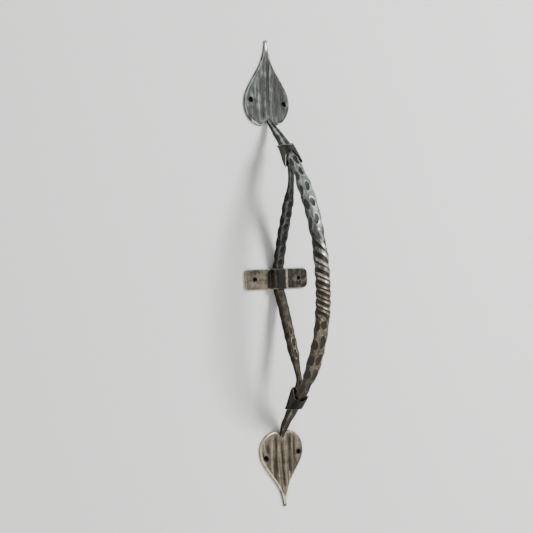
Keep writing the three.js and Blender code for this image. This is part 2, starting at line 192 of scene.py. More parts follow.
# %% [markdown]
# ## Small helpers for node trees
#
# A node tree can be written as plain arithmetic once there is one call that adds a node, sets
# it up and wires its inputs in order. Both the geometry trees and the finishes use it.

# %% Node helpers


def put(tree, kind, *inputs, **settings):
    """Adds a node. Each input is a socket to link, a value to set, or None to leave alone."""
    made = tree.nodes.new(kind)
    for name, value in settings.items():
        setattr(made, name, value)
    open_inputs = [socket for socket in made.inputs if socket.enabled]
    for socket, value in zip(open_inputs, inputs):
        if isinstance(value, bpy.types.NodeSocket):
            tree.links.new(value, socket)
        elif value is not None:
            socket.default_value = value
    return made


def out_of(made):
    return next(socket for socket in made.outputs if socket.enabled)


def sums(tree):
    """A function that does arithmetic with nodes: calc("ADD", a, b)."""
    return lambda work, *terms: out_of(put(tree, "ShaderNodeMath", *terms, operation=work))


def eased(tree, value, low, high):
    """A Map Range node that rises smoothly from 0 to 1 between low and high."""
    return out_of(
        put(tree, "ShaderNodeMapRange", value, low, high, 0.0, 1.0, interpolation_type="SMOOTHSTEP")
    )


def sockets(tree, way, *wanted):
    """Gives a tree its named inputs or outputs: (name, kind, default)."""
    for name, kind, value in wanted:
        socket = tree.interface.new_socket(name, in_out=way, socket_type="NodeSocket" + kind)
        if value is not None:
            socket.default_value = value


# %% [markdown]
# ## Forging a bar with Geometry Nodes
#
# Both bars are one long section that follows a line and changes by rule: squarish, dented by
# the hammer in rows, or twisted with grooves and lines cut along its corners. That is what
# Geometry Nodes are good at. The tree takes a line whose points carry the size of the bar
# there, sweeps a ring along it, and then moves every point of the ring to where the section's
# rule puts it. The ring turns with the twist, so the edges of the mesh run along the cuts. The
# sizes that a bar may change are the tree's named inputs, in metres.

# %% Sizes of a forged bar
BAR_INPUTS = (
    ("Steps round", "Int", 100),
    ("Squareness", "Float", 3.0),
    ("Dent depth", "Float", 0.0008),
    ("Dent pitch", "Float", 0.0172),
    ("Dent rows", "Float", 6.0),
    ("Dent length", "Float", 0.76),
    ("Dent width", "Float", 1.0),
    ("Dent stagger", "Float", 0.1),
    ("Dent black", "Float", 0.8),
    ("Dent rim", "Float", 0.55),
    ("Waviness", "Float", 0.0006),
    ("Twist half", "Float", 0.0074),
    ("Twist squareness", "Float", 2.5),
    ("Groove depth", "Float", 0.0011),
    ("Line depth", "Float", 0.0007),
    ("Fine line depth", "Float", 0.00025),
    ("Seed", "Int", 3),
)
print("a forged bar has", len(BAR_INPUTS), "sizes")

# %% [markdown]
# ## Hammer marks
#
# The bar between the cuts is a square with well-rounded corners. The hammer's peen leaves oval
# hollows in it, in rows that wander a little, and a fine raised rim round each. Modelling each
# hollow would take hundreds of cutters. Here the bar's surface is divided into cells, one for
# each blow, and a random value for each cell changes the length, width, place and depth of its
# oval, so the marks look like handwork and are the same in every run.

# %% Hammer marks
FIRST_ROW = math.radians(40)
# The least and the greatest that a blow may have, as shares of its cell or of full depth
DENT_LENGTHS = (0.36, 0.5)
DENT_WIDTHS = (0.34, 0.46)
DENT_SHIFTS = (-0.1, 0.1)
DENT_SLIPS = (-0.06, 0.06)
DENT_DEPTHS = (0.6, 1.0)
# Where a mark's rim rises and falls, as squares of the distance from the mark's middle
RIM_RISES = (0.85, 1.05)
RIM_FALLS = (1.15, 1.8)


def rounded_square(tree, angle, half, squareness):
    """Radius of a square with rounded corners, in the direction of an angle."""
    calc = sums(tree)
    across = calc("POWER", calc("ABSOLUTE", calc("COSINE", angle)), squareness)
    outward = calc("POWER", calc("ABSOLUTE", calc("SINE", angle)), squareness)
    shape = calc("POWER", calc("ADD", across, outward), calc("DIVIDE", -1.0, squareness))
    return calc("MULTIPLY", shape, half)


def line_value(tree, name, kind="FLOAT"):
    return out_of(put(tree, "GeometryNodeInputNamedAttribute", name, data_type=kind))


def dents(tree, sizes, angle, along, wander, weight):
    """Depth of the hammer marks, and their rims: ovals in rows, none quite like the next."""
    calc = sums(tree)
    rows = sizes["Dent rows"]
    row_angle = calc("DIVIDE", math.tau, rows)
    place = calc("ADD", calc("DIVIDE", calc("SUBTRACT", angle, FIRST_ROW), row_angle), wander)
    row = calc("ROUND", place)
    across = calc("SUBTRACT", place, row)
    stagger = calc("MULTIPLY", calc("FLOORED_MODULO", row, 2.0), sizes["Dent stagger"])
    shifted = calc("ADD", calc("DIVIDE", along, sizes["Dent pitch"]), stagger)
    cell = calc("ROUND", shifted)
    blow = calc("ADD", calc("MULTIPLY", cell, 16.0), calc("FLOORED_MODULO", row, rows))

    def chance(low, high, turn):
        seed = calc("ADD", sizes["Seed"], float(turn))
        random = put(tree, "FunctionNodeRandomValue", low, high, blow, seed, data_type="FLOAT")
        return out_of(random)

    length = calc("MULTIPLY", sizes["Dent length"], weight)
    length = calc("MULTIPLY", length, chance(*DENT_LENGTHS, 1))
    width = calc("MULTIPLY", sizes["Dent width"], weight)
    width = calc("MULTIPLY", width, chance(*DENT_WIDTHS, 2))
    lengthwise = calc("SUBTRACT", calc("SUBTRACT", shifted, cell), chance(*DENT_SHIFTS, 3))
    lengthwise = calc("DIVIDE", lengthwise, length)
    sideways = calc("DIVIDE", calc("ADD", across, chance(*DENT_SLIPS, 4)), width)
    inside = calc("ADD", calc("POWER", lengthwise, 2.0), calc("POWER", sideways, 2.0))
    bowl = calc("MAXIMUM", calc("SUBTRACT", 1.0, inside), 0.0)
    rim = calc("MULTIPLY", eased(tree, inside, *RIM_RISES),
               calc("SUBTRACT", 1.0, eased(tree, inside, *RIM_FALLS)))
    return calc("MULTIPLY", calc("POWER", bowl, 0.7), chance(*DENT_DEPTHS, 5)), rim


# %% [markdown]
# ## Cuts along the corners
#
# Before the bar was twisted, a chisel cut a groove along two of its corners and a line along
# the other two, with finer scores between them. Every cut is a rule about the angle from the
# nearest groove, so the twist carries all of them round the bar together. A wedge of shade
# marks the place above the twist where the first cut runs out.

# %% Cuts
# Degrees from the middle of a groove: where each form starts to rise, and where it is full
GROOVE_SIDE = (17, 37)
RIDGE_SIDES = ((38, 50), (68, 82))
LINE_SIDE = (79, 88)
SCORES_FROM = (42, 52)
SCORE_PITCH = 18
WEDGE_SIDES = ((68, 76), (-52, -36))


def cuts(tree, sizes, face):
    """Depth of the cuts, how dark they are, the ridges between them, scores and wedge."""
    calc = sums(tree)
    turned = calc("WRAP", calc("SUBTRACT", face, 0.75 * math.pi), math.pi / 2, -math.pi / 2)
    aside = calc("ABSOLUTE", turned)

    def past(place, degrees):
        return eased(tree, place, *map(math.radians, degrees))

    groove = calc("SUBTRACT", 1.0, past(aside, GROOVE_SIDE))
    line = past(aside, LINE_SIDE)
    wave = calc("COSINE", calc("MULTIPLY", aside, math.tau / math.radians(SCORE_PITCH)))
    fine = calc("POWER", calc("MULTIPLY_ADD", wave, 0.5, 0.5), 3.0)
    fine = calc("MULTIPLY", fine, past(aside, SCORES_FROM))
    depth = calc("MULTIPLY", groove, sizes["Groove depth"])
    depth = calc("ADD", depth, calc("MULTIPLY", line, sizes["Line depth"]))
    dark = calc("MAXIMUM", groove, calc("MULTIPLY", line, 0.9))
    ridge = calc("SUBTRACT", past(aside, RIDGE_SIDES[0]), past(aside, RIDGE_SIDES[1]))
    wedge = calc("MAXIMUM", past(turned, WEDGE_SIDES[0]),
                 calc("SUBTRACT", 1.0, past(turned, WEDGE_SIDES[1])))
    return depth, dark, ridge, fine, wedge


# %% [markdown]
# ## The whole tree
#
# The tree moves each point out to the section's radius, and stores two masks for the finish.
# The first holds black and shade: dirt and black that stay in the hammer marks and cuts, and
# painted shade on the sides turned away from the front and in the wedge above the twist. The
# second is shine, where the brush and the hand have bared the iron. The side towards the door
# is out of reach of both, so it stays black, and its darkness there is painted shade as well.

# %% Tree of the forged bar
MASKS = ("black_and_shade", "shine")
ROLLING_SCALE = 75.0
WANDER_SCALE = 55.0
WANDER_AMOUNT = 0.7
MOTTLE_SCALE = 210.0
BACK_BLACK_AND_SHADE = 0.7
CORNER_SHARES = (1.06, 1.12)
FRONT_SINES = (-0.25, 0.65)


def forged_bar_tree():
    tree = bpy.data.node_groups.new("Forged bar", "GeometryNodeTree")
    sockets(tree, "INPUT", ("Centre line", "Geometry", None), *BAR_INPUTS,
            ("Finish", "Material", None))
    sockets(tree, "OUTPUT", ("Bar", "Geometry", None))
    calc = sums(tree)
    sizes = put(tree, "NodeGroupInput").outputs
    line = put(tree, "GeometryNodeMeshToCurve", sizes["Centre line"]).outputs[0]
    ring = put(tree, "GeometryNodeCurvePrimitiveCircle", sizes["Steps round"], 1.0)
    place = out_of(put(tree, "GeometryNodeInputPosition"))
    ring = put(tree, "GeometryNodeStoreNamedAttribute", ring.outputs[0], None, "round", place,
               data_type="FLOAT_VECTOR", domain="POINT").outputs[0]
    tube = put(tree, "GeometryNodeCurveToMesh", line, ring)
    tube.inputs["Fill Caps"].default_value = True

    side, out, middle = (
        line_value(tree, name, "FLOAT_VECTOR") for name in ("side", "out", "middle"))
    half, flat, turn, along = (line_value(tree, name) for name in ("half", "flat", "turn", "along"))
    hammered, weight, incised, lined, wedged, dirt_and_shade, edge = (
        line_value(tree, name)
        for name in ("hammered", "weight", "incised", "lined", "wedged", "dirt_and_shade", "edge"))
    around = line_value(tree, "round", "FLOAT_VECTOR")
    direction = put(tree, "ShaderNodeSeparateXYZ", around).outputs
    face = calc("ARCTAN2", direction[1], direction[0])
    angle = calc("ADD", face, turn)

    def vectors(work, *terms):
        return out_of(put(tree, "ShaderNodeVectorMath", *terms, operation=work))

    def reach(radius):
        """The point of the section at that radius."""
        sideways = vectors("SCALE", side, calc("MULTIPLY", radius, calc("COSINE", angle)))
        outwards = calc("MULTIPLY", calc("MULTIPLY", radius, calc("SINE", angle)), flat)
        return vectors("ADD", middle, vectors("ADD", sideways, vectors("SCALE", out, outwards)))

    plain = rounded_square(tree, face, half, sizes["Squareness"])
    corner = eased(tree, calc("DIVIDE", plain, half), *CORNER_SHARES)
    rolling = put(tree, "ShaderNodeTexNoise", reach(plain), ROLLING_SCALE, 1.0).outputs[0]
    rolling = calc("MULTIPLY", calc("SUBTRACT", rolling, 0.5), sizes["Waviness"])
    wander = put(tree, "ShaderNodeTexNoise", reach(plain), WANDER_SCALE, 1.0).outputs[0]
    wander = calc("MULTIPLY", calc("SUBTRACT", wander, 0.5), WANDER_AMOUNT)
    bowl, rim = dents(tree, sizes, angle, along, wander, weight)
    dent = calc("MULTIPLY", bowl, hammered)
    worked = calc("SUBTRACT", plain, calc("MULTIPLY", dent, sizes["Dent depth"]))
    worked = calc("ADD", worked, rolling)
    depth, dark, ridge, fine, wedge = cuts(tree, sizes, face)
    wedge = calc("MULTIPLY", wedge, wedged)
    twisted = rounded_square(tree, face, sizes["Twist half"], sizes["Twist squareness"])
    twisted = calc("ADD", calc("SUBTRACT", twisted, depth), calc("MULTIPLY", rolling, 0.7))
    radius = calc("MULTIPLY_ADD", calc("SUBTRACT", twisted, worked), incised, worked)
    scored = calc("MULTIPLY", fine, lined)
    radius = calc("SUBTRACT", radius, calc("MULTIPLY", scored, sizes["Fine line depth"]))
    radius = calc("SUBTRACT", radius, calc("MULTIPLY", wedge, sizes["Line depth"]))

    flatly = calc("SUBTRACT", 1.0, incised)
    blackened = calc("MULTIPLY", sizes["Dent black"], hammered)
    black_and_shade = calc("MULTIPLY", eased(tree, bowl, 0.0, 0.3), blackened)
    black_and_shade = calc("MAXIMUM", black_and_shade, calc("MULTIPLY", dark, calc("POWER", incised, 2.0)))
    # The wedge's darkness above the twist is painted shade; the wedge also cuts a little into the
    # bar.
    black_and_shade = calc("MAXIMUM", black_and_shade, calc("MAXIMUM", calc("MULTIPLY", scored, 0.8), wedge))
    # Painted shade: the door side and the sides next to it are darkened, besides the black that no
    # brush reaches there.
    front = eased(tree, calc("SINE", angle), *FRONT_SINES)
    behind = calc("SUBTRACT", 1.0, front)
    black_and_shade = calc("ADD", black_and_shade, calc("MULTIPLY_ADD", behind, BACK_BLACK_AND_SHADE, dirt_and_shade))
    rim = calc("MULTIPLY", rim, calc("MULTIPLY", hammered, sizes["Dent rim"]))
    mottle = put(tree, "ShaderNodeTexNoise", reach(plain), MOTTLE_SCALE, 2.0).outputs[0]
    mottle = calc("MULTIPLY_ADD", eased(tree, mottle, 0.35, 0.65), 0.75, 0.15)
    rim = calc("MULTIPLY", rim, mottle)
    ridge = calc("MULTIPLY", ridge, mottle)
    shine = calc("MULTIPLY", calc("MAXIMUM", calc("MULTIPLY", corner, edge), rim), flatly)
    shine = calc("MAXIMUM", shine, calc("MULTIPLY", ridge, incised))
    bar = tube.outputs[0]
    for name, value in zip(MASKS, (black_and_shade, shine)):
        bar = put(tree, "GeometryNodeStoreNamedAttribute", bar, None, name, value,
                  data_type="FLOAT", domain="POINT").outputs[0]
    bar = put(tree, "GeometryNodeSetPosition", bar, None, reach(radius)).outputs[0]
    bar = put(tree, "GeometryNodeSetShadeSmooth", bar, None, True).outputs[0]
    bar = put(tree, "GeometryNodeRealizeInstances", bar).outputs[0]
    bar = put(tree, "GeometryNodeSetMaterial", bar, None, sizes["Finish"]).outputs[0]
    put(tree, "NodeGroupOutput", bar)
    return tree


FORGED_BAR = forged_bar_tree()
print("forged bar tree:", len(FORGED_BAR.nodes), "nodes")

# %% [markdown]
# ## From a line of stations to a plain mesh
#
# The line is a mesh of points and edges. Each point carries named attributes, such as half the
# bar's width, which the tree reads by name. The modifier's inputs are set by the identifier of
# their socket before anything is evaluated, and the evaluated result is then kept as a plain
# mesh, so that the finished piece needs no modifier.

# %% Plain meshes


def object_of(name, mesh):
    made = bpy.data.objects.new(name, mesh)
    bpy.context.scene.collection.objects.link(made)
    return made


def face_outwards(mesh):
    """Turns a closed mesh right side out if its volume comes out negative."""
    mesh.calc_loop_triangles()
    points = np.zeros(len(mesh.vertices) * 3)
    mesh.vertices.foreach_get("co", points)
    corners = np.zeros(len(mesh.loop_triangles) * 3, np.int32)
    mesh.loop_triangles.foreach_get("vertices", corners)
    a, b, c = points.reshape(-1, 3)[corners.reshape(-1, 3)].transpose(1, 0, 2)
    if np.einsum("ij,ij->i", a, np.cross(b, c)).sum() < 0:
        mesh.flip_normals()


def solid_mesh(name, points, faces, masks):
    """A smooth closed mesh from points in millimetres, with its finish masks."""
    mesh = bpy.data.meshes.new(name)
    mesh.from_pydata((np.asarray(points) * MM).tolist(), [], faces)
    for key in MASKS:
        attribute = mesh.attributes.new(key, "FLOAT", "POINT")
        attribute.data.foreach_set("value", masks[key].astype(np.float32))
    mesh.shade_smooth()
    face_outwards(mesh)
    return mesh


def ring_faces(rings, count, endless=False):
    """Faces between rings of count points. An open stack also gets a face over each end."""
    faces = []
    for ring in range(rings if endless else rings - 1):
        here, there = ring * count, (ring + 1) % rings * count
        for k in range(count):
            after = (k + 1) % count
            faces.append((here + k, here + after, there + after, there + k))
    if endless:
        return faces
    return [*faces, tuple(reversed(range(count))), tuple(range((rings - 1) * count, rings * count))]


# %% Settled results and booleans


def settled(holder):
    """The evaluated result of an object's modifiers as a plain mesh. The object is removed."""
    bpy.context.view_layer.update()
    graph = bpy.context.evaluated_depsgraph_get()
    mesh = bpy.data.meshes.new_from_object(
        holder.evaluated_get(graph), preserve_all_data_layers=True, depsgraph=graph)
    bpy.data.objects.remove(holder)
    return mesh


def carved(mesh, operation, tools):
    """Joins tools to a closed mesh, or cuts them out of it."""
    holder = object_of("blank", mesh)
    others = [object_of("tool", tool) for tool in tools]
    for other in others:
        step = holder.modifiers.new("step", "BOOLEAN")
        step.operation = operation
        step.solver = "MANIFOLD"
        step.object = other
    result = settled(holder)
    for other in others:
        bpy.data.objects.remove(other)
    return result


# %% Forging along a line


def forged(name, stations, sizes, finish):
    """Sweeps the bar along its stations and returns it as a plain mesh."""
    line = bpy.data.meshes.new(name + "_line")
    count = len(stations["middle"])
    line.from_pydata(stations["middle"].tolist(), [(i, i + 1) for i in range(count - 1)], [])
    for key, values in stations.items():
        kind, field = ("FLOAT_VECTOR", "vector") if values.ndim == 2 else ("FLOAT", "value")
        attribute = line.attributes.new(key, kind, "POINT")
        attribute.data.foreach_set(field, values.astype(np.float32).ravel())
    holder = object_of(name + "_line", line)
    modifier = holder.modifiers.new("Forged bar", "NODES")
    modifier.node_group = FORGED_BAR
    given = {**sizes, "Finish": finish}
    for socket in FORGED_BAR.interface.items_tree:
        if socket.in_out == "INPUT" and socket.name in given:
            modifier[socket.identifier] = given[socket.name]
    mesh = settled(holder)
    for key in [a.name for a in mesh.attributes]:
        if key in stations or key == "round":
            mesh.attributes.remove(mesh.attributes[key])
    face_outwards(mesh)
    return mesh


def report(piece):
    """Prints how many faces a piece has, and how large it is."""
    low, high = (Vector(corner) for corner in (piece.bound_box[0], piece.bound_box[6]))
    size = ", ".join(f"{x / MM:.1f}" for x in high - low)
    print(piece.name, len(piece.data.polygons), "faces,", size, "mm")


# %% [markdown]
# ## Finishes: worn black iron
#
# Forged iron leaves the fire black. The smith brushes it, and hands do the rest: the high spots
# turn grey and then bright, and the hollows stay black. One shader group turns the two masks into
# colour, with brushed grain, cloudy patches and fine pores laid over them. The masks carry
# painted shade and painted highlights as well as that wear, and the group adds a painted tint of
# the light, warm towards the lower end and cool above. Each finish places the group with its own
# colours, and keeps its own shader.

# %% Worn iron
CLOUD_SCALE = 150.0
PATCH_SCALE = 32.0
PORE_SCALE = 1300.0
MASK_WEIGHT = 0.75
LIGHT_TINT_HEIGHTS = (-0.05, 0.08)
BUMP_STRENGTH = 0.55
BUMP_DISTANCE = 0.0004


def worn_iron_and_light_group():
    tree = bpy.data.node_groups.new("Worn iron and painted light", "ShaderNodeTree")
    sockets(tree, "INPUT", ("Black and shade", "Float", 0.0), ("Shine", "Float", 0.0),
            ("Grain", "Vector", (1.0, 1.0, 1.0)), ("Bareness", "Float", 0.45),
            ("Cloudiness", "Float", 0.5), ("Black", "Color", (0.02, 0.02, 0.02, 1)),
            ("Grey", "Color", (0.2, 0.2, 0.2, 1)), ("Bright", "Color", (0.6, 0.6, 0.6, 1)),
            ("Cool light tint", "Color", (0.94, 1.0, 0.99, 1)),
            ("Warm light tint", "Color", (1.0, 0.82, 0.63, 1)))
    sockets(tree, "OUTPUT", ("Colour", "Color", None), ("Roughness", "Float", None),
            ("Metal", "Float", None), ("Height", "Float", None))
    calc = sums(tree)
    given = put(tree, "NodeGroupInput").outputs
    place = put(tree, "ShaderNodeTexCoord").outputs["Object"]
    stretched = put(tree, "ShaderNodeVectorMath", place, given["Grain"], operation="MULTIPLY")
    grain = put(tree, "ShaderNodeTexNoise", out_of(stretched), 1.0, 3.0, 0.6).outputs[0]
    clouds = put(tree, "ShaderNodeTexNoise", place, CLOUD_SCALE, 5.0, 0.6).outputs[0]
    patches = put(tree, "ShaderNodeTexNoise", place, PATCH_SCALE, 3.0, 0.5).outputs[0]
    pores = put(tree, "ShaderNodeTexNoise", place, PORE_SCALE, 2.0, 0.5).outputs[0]

    def swing(value, amount):
        return calc("MULTIPLY", calc("SUBTRACT", value, 0.5), amount)

    bare = calc("ADD", given["Bareness"], calc("MULTIPLY", given["Shine"], MASK_WEIGHT))
    bare = calc("SUBTRACT", bare, calc("MULTIPLY", given["Black and shade"], MASK_WEIGHT))
    bare = calc("ADD", bare, swing(grain, 0.8))
    cloudy = calc("ADD", swing(clouds, 1.6), swing(patches, 1.4))
    bare = calc("ADD", bare, calc("MULTIPLY", cloudy, given["Cloudiness"]))
    greyed = eased(tree, bare, 0.0, 0.6)
    brightened = eased(tree, bare, 0.5, 1.15)

    def blended(share, a, b, way="MIX"):
        return out_of(put(tree, "ShaderNodeMix", share, a, b, data_type="RGBA", blend_type=way))

    colour = blended(greyed, given["Black"], given["Grey"])
    colour = blended(brightened, colour, given["Bright"])
    up = put(tree, "ShaderNodeSeparateXYZ", place).outputs["Z"]
    # Painted light: a warm tint below and a cool one above.
    light_tint = blended(eased(tree, up, *LIGHT_TINT_HEIGHTS), given["Warm light tint"], given["Cool light tint"])
    final = blended(1.0, colour, light_tint, "MULTIPLY")
    roughness = calc("ADD", calc("MULTIPLY_ADD", brightened, -0.16, 0.54), swing(pores, 0.3))
    metal = calc("MULTIPLY_ADD", greyed, 0.2, 0.75)
    height = calc("ADD", calc("MULTIPLY", grain, 0.35), calc("MULTIPLY", clouds, 0.4))
    height = calc("ADD", height, calc("MULTIPLY", pores, 0.25))
    put(tree, "NodeGroupOutput", final, roughness, metal, height)
    return tree


WORN_IRON_AND_LIGHT = worn_iron_and_light_group()
print("worn iron:", len(WORN_IRON_AND_LIGHT.nodes), "nodes")

# %% Finishes
BRUSHED_GRAIN = (900.0, 900.0, 70.0)
ROUND_GRAIN = (300.0, 300.0, 300.0)


def iron_finish(name, bareness, cloudiness, black, grey, bright, grain=BRUSHED_GRAIN):
    """A material that places the group with its own values."""
    material = bpy.data.materials.new(name)
    material.use_nodes = True
    tree = material.node_tree
    shader = tree.nodes["Principled BSDF"]
    masks = [put(tree, "ShaderNodeAttribute", attribute_name=key).outputs["Fac"] for key in MASKS]
    worn = put(tree, "ShaderNodeGroup", *masks, node_tree=WORN_IRON_AND_LIGHT)
    for key, value in (("Grain", grain), ("Bareness", bareness), ("Cloudiness", cloudiness),
                       ("Black", (*black, 1)), ("Grey", (*grey, 1)), ("Bright", (*bright, 1))):
        worn.inputs[key].default_value = value
    for key, into in (("Colour", "Base Color"), ("Roughness", "Roughness"), ("Metal", "Metallic")):
        tree.links.new(worn.outputs[key], shader.inputs[into])
    bump = put(tree, "ShaderNodeBump")
    bump.inputs["Strength"].default_value = BUMP_STRENGTH
    bump.inputs["Distance"].default_value = BUMP_DISTANCE
    tree.links.new(worn.outputs["Height"], bump.inputs["Height"])
    tree.links.new(bump.outputs["Normal"], shader.inputs["Normal"])
    return material


BRUSHED_IRON = iron_finish("worn_brushed_iron", 0.42, 0.5, (0.028, 0.028, 0.026),
                           (0.15, 0.155, 0.15), (0.6, 0.61, 0.58))
BLACK_IRON = iron_finish("worn_black_iron", 0.2, 0.5, (0.01, 0.01, 0.009),
                         (0.07, 0.07, 0.065), (0.36, 0.37, 0.34))
SHEET_IRON = iron_finish("worn_sheet_iron", 0.3, 0.4, (0.006, 0.006, 0.005),
                         (0.075, 0.075, 0.064), (0.36, 0.36, 0.33))
STRAP_IRON = iron_finish("worn_strap_iron", 0.4, 0.3, (0.008, 0.0077, 0.007),
                         (0.12, 0.117, 0.105), (0.42, 0.41, 0.38), grain=ROUND_GRAIN)
print("finishes:", [m.name for m in bpy.data.materials])

# %% [markdown]
# ## The grip bar
#
# The grip is one bar from leaf to leaf. Its sections lie close together where the twist turns
# and farther apart elsewhere. Each station says how thick the bar is there, how far it has
# turned, how much of it is hammered or incised, and how dark it is there: black that has stayed
# on it, and painted shade.

# %% Sizes of the grip
GRIP_HALF = 6.7
NECK_HALF = 5.1
STEM_HALF = 3.4
ROOT_HALF = 2.2
ROOT_FLATNESS = 0.45
NECK_TAPER = 16
TWIST_TOP_Z = 56.5
TWIST_BOTTOM_Z = -43.5
TWIST_TURNS = 3.25
UPPER_EASE = 67
LOWER_EASE = 10
INCISED_TOP_Z = 42
INCISED_FADE = 16
SCORED_FROM_Z = 48
SCORED_Z = 40
WEDGE_HEIGHTS = (24, 31, 41, 47)
SHADED_Z = 43
SHADED_WIDTH = 11
HAMMERED_Z = 71
STEM_STARTS = (122, 134)
LOWER_DENT_GROWTH = 0.13
UPPER_STEM_DIRT = 0.28
LOWER_STEM_DARKENING = 0.75
ROOT_DIRT = 0.15
UPPER_BOW_DARKENING = -0.24
LOWER_BOW_DARKENING = 0.12
SHADE_ABOVE_TWIST = 0.22
BOW_BOTTOM_DARKENING = 0.4
# The lower collar is darkened all over with painted shade, where it lies in shadow below the bow.
COLLARS = {
    "collar_upper": {"rim": 135, "lip": 130, "heel": 108, "left_fall": 0.9, "right_fall": 1.9,
                     "wing": 1.8, "dirt_and_shade": 0.0, "leaf": UPPER_LEAF},
    "collar_lower": {"rim": -132.5, "lip": -124.5, "heel": -107, "left_fall": 0.5,
                     "right_fall": 0.8, "wing": 0, "dirt_and_shade": 0.8, "leaf": LOWER_LEAF},
}
TWIST_LEAD = (TWIST_TOP_Z - TWIST_BOTTOM_Z - (UPPER_EASE + LOWER_EASE) / 2) / TWIST_TURNS
print("the twist advances", round(TWIST_LEAD, 1), "mm in a turn")

# %% Twist, thickness and black along the grip


def turns_below(z):
    """The twist tightens over the upper ease, holds its lead, and slackens over the lower."""
    length = TWIST_TOP_Z - TWIST_BOTTOM_Z
    down = min(max(TWIST_TOP_Z - z, 0), length)
    if down < UPPER_EASE:
        return down**2 / (2 * UPPER_EASE * TWIST_LEAD)
    if down < length - LOWER_EASE:
        return (down - UPPER_EASE / 2) / TWIST_LEAD
    return TWIST_TURNS - (length - down) ** 2 / (2 * LOWER_EASE * TWIST_LEAD)


def grip_half(z):
    """Half the grip's width: full in the bow, drawn thin in the collars and at the leaves."""
    spec = COLLARS["collar_upper" if z > 0 else "collar_lower"]
    height, root = abs(z), abs(root_z(spec["leaf"]))
    rim, heel = abs(spec["rim"]), abs(spec["heel"])
    if height > root - STEM_LAP:
        return mix(STEM_HALF, ROOT_HALF, (height - root + STEM_LAP) / STEM_LAP)
    if height > rim:
        return mix(NECK_HALF, STEM_HALF, (height - rim) / (root - STEM_LAP - rim))
    return mix(NECK_HALF, GRIP_HALF, ease(heel - height, 0, NECK_TAPER))


def grip_dirt_and_shade(z):
    """Tone along the grip: brighter over the upper bow, darker towards the bottom and on the stems,
    with painted shade above the twist.
    """
    stem = UPPER_STEM_DIRT if z > 0 else LOWER_STEM_DARKENING
    bow = mix(LOWER_BOW_DARKENING, UPPER_BOW_DARKENING, ease(z, -70, 40))
    # Painted shade on the face above the twist
    bow += SHADE_ABOVE_TWIST * bump_at(z, SHADED_Z, SHADED_WIDTH)
    bow += BOW_BOTTOM_DARKENING * (1 - ease(z, BOW_BOTTOM_Z, -78))
    root = abs(root_z(UPPER_LEAF if z > 0 else LOWER_LEAF))
    return mix(mix(bow, stem, ease(abs(z), *STEM_STARTS)), ROOT_DIRT,
               ease(abs(z), root - 15, root - 4))


print("the neck is", 2 * grip_half(COLLARS["collar_upper"]["rim"]), "mm thick at its collar")

# %% Stations of the grip
FINE_STEP = 0.55
STEP = 0.7


def grip_stations():
    """One row of values for each station, from the upper leaf down to the lower one."""
    rows = []
    along = 0
    z = root_z(UPPER_LEAF)
    end = root_z(LOWER_LEAF)
    while z > end:
        middle, side, out = bar_frame(grip_middle, z)
        half = grip_half(z)
        root = abs(root_z(UPPER_LEAF if z > 0 else LOWER_LEAF))
        above_end = ease(z, TWIST_BOTTOM_Z, TWIST_BOTTOM_Z + LOWER_EASE / 2)
        incised = above_end * (1 - ease(z, INCISED_TOP_Z - INCISED_FADE, INCISED_TOP_Z))
        lined = above_end * (1 - ease(z, SCORED_Z, SCORED_FROM_Z))
        fade_in, full, still_full, gone = WEDGE_HEIGHTS
        at_stem = ease(abs(z), *STEM_STARTS)
        rows.append({
            "middle": middle * MM,
            "side": side,
            "out": out,
            "half": half * MM,
            "flat": mix(1, ROOT_FLATNESS, ease(abs(z), root - 1.5 * STEM_LAP, root)),
            "turn": -math.tau * turns_below(z),
            "hammered": mix(1, 0.7, at_stem) * (1 - lined),
            "weight": 1 + LOWER_DENT_GROWTH * (z < TWIST_BOTTOM_Z),
            "incised": incised,
            "lined": lined,
            "wedged": ease(z, fade_in, full) * (1 - ease(z, still_full, gone)),
            "dirt_and_shade": grip_dirt_and_shade(z),
            # Less shine on the corners there as well, along with the painted shade above the twist
            "edge": mix(0.3, 0.9, at_stem) * (1 - bump_at(z, SCORED_Z, SHADED_WIDTH)),
            "along": along * MM,
        })
        step = FINE_STEP if lined > 0 else STEP
        slope = (grip_out(z) - grip_out(z - 0.5)) / 0.5
        z -= step / math.hypot(1, slope)
        along += step
    stations = {key: np.array([row[key] for row in rows]) for key in rows[0]}
    heights = stations["middle"][:, 2] / MM
    stations["along"] -= np.interp(-HAMMERED_Z, -heights, stations["along"])
    return stations


grip_line = grip_stations()
grip_mesh = forged("grip_bar", grip_line, {"Waviness": 0.0007}, BRUSHED_IRON)
print("grip:", len(grip_line["along"]), "stations,", len(grip_mesh.polygons), "faces")

# %% [markdown]
# ## The leaves
#
# Each leaf is hammered out of the bar's end: a long hollow flank from the tip, a full belly and
# two round lobes at the stem. The fuller leaves shallow strokes along it, the rim is thinned
# and worn bright, with a painted highlight that makes its left side brighter still, and small
# nicks break its edge. The thin side at the edge is darkened with painted shade. A fan of rings
# from the belly to the edge gives enough points to press all of that into the face. The screw
# holes are cut last.
#
# Each vein is a stroke of the fuller: its place across, and where it starts and stops, as
# shares of the leaf. Each hole has its side and its share of the way down from the tip.

# %% Sizes of the leaves
LEAF_RIM = 1.7
LEAF_BEVEL = 3.2
LEAF_TIP_HALF = 1.3
LEAN_LENGTH = 40
HOLE_SPACING = 39.5
HOLE_RADIUS = 1.8
SINK_RADIUS = 3.2
SINK_DEPTH = 1.4
STROKE_WIDTH = 0.055
SWELL_HEIGHT = 1.3
SWELL_WIDTH = 3.8
RIM_SHINE = 1.3
THROAT_SHINE = 0.7
SIDE_SHADE = 0.8
BACK_DEPTH = 0.1
LEAF_SPOKES = 281
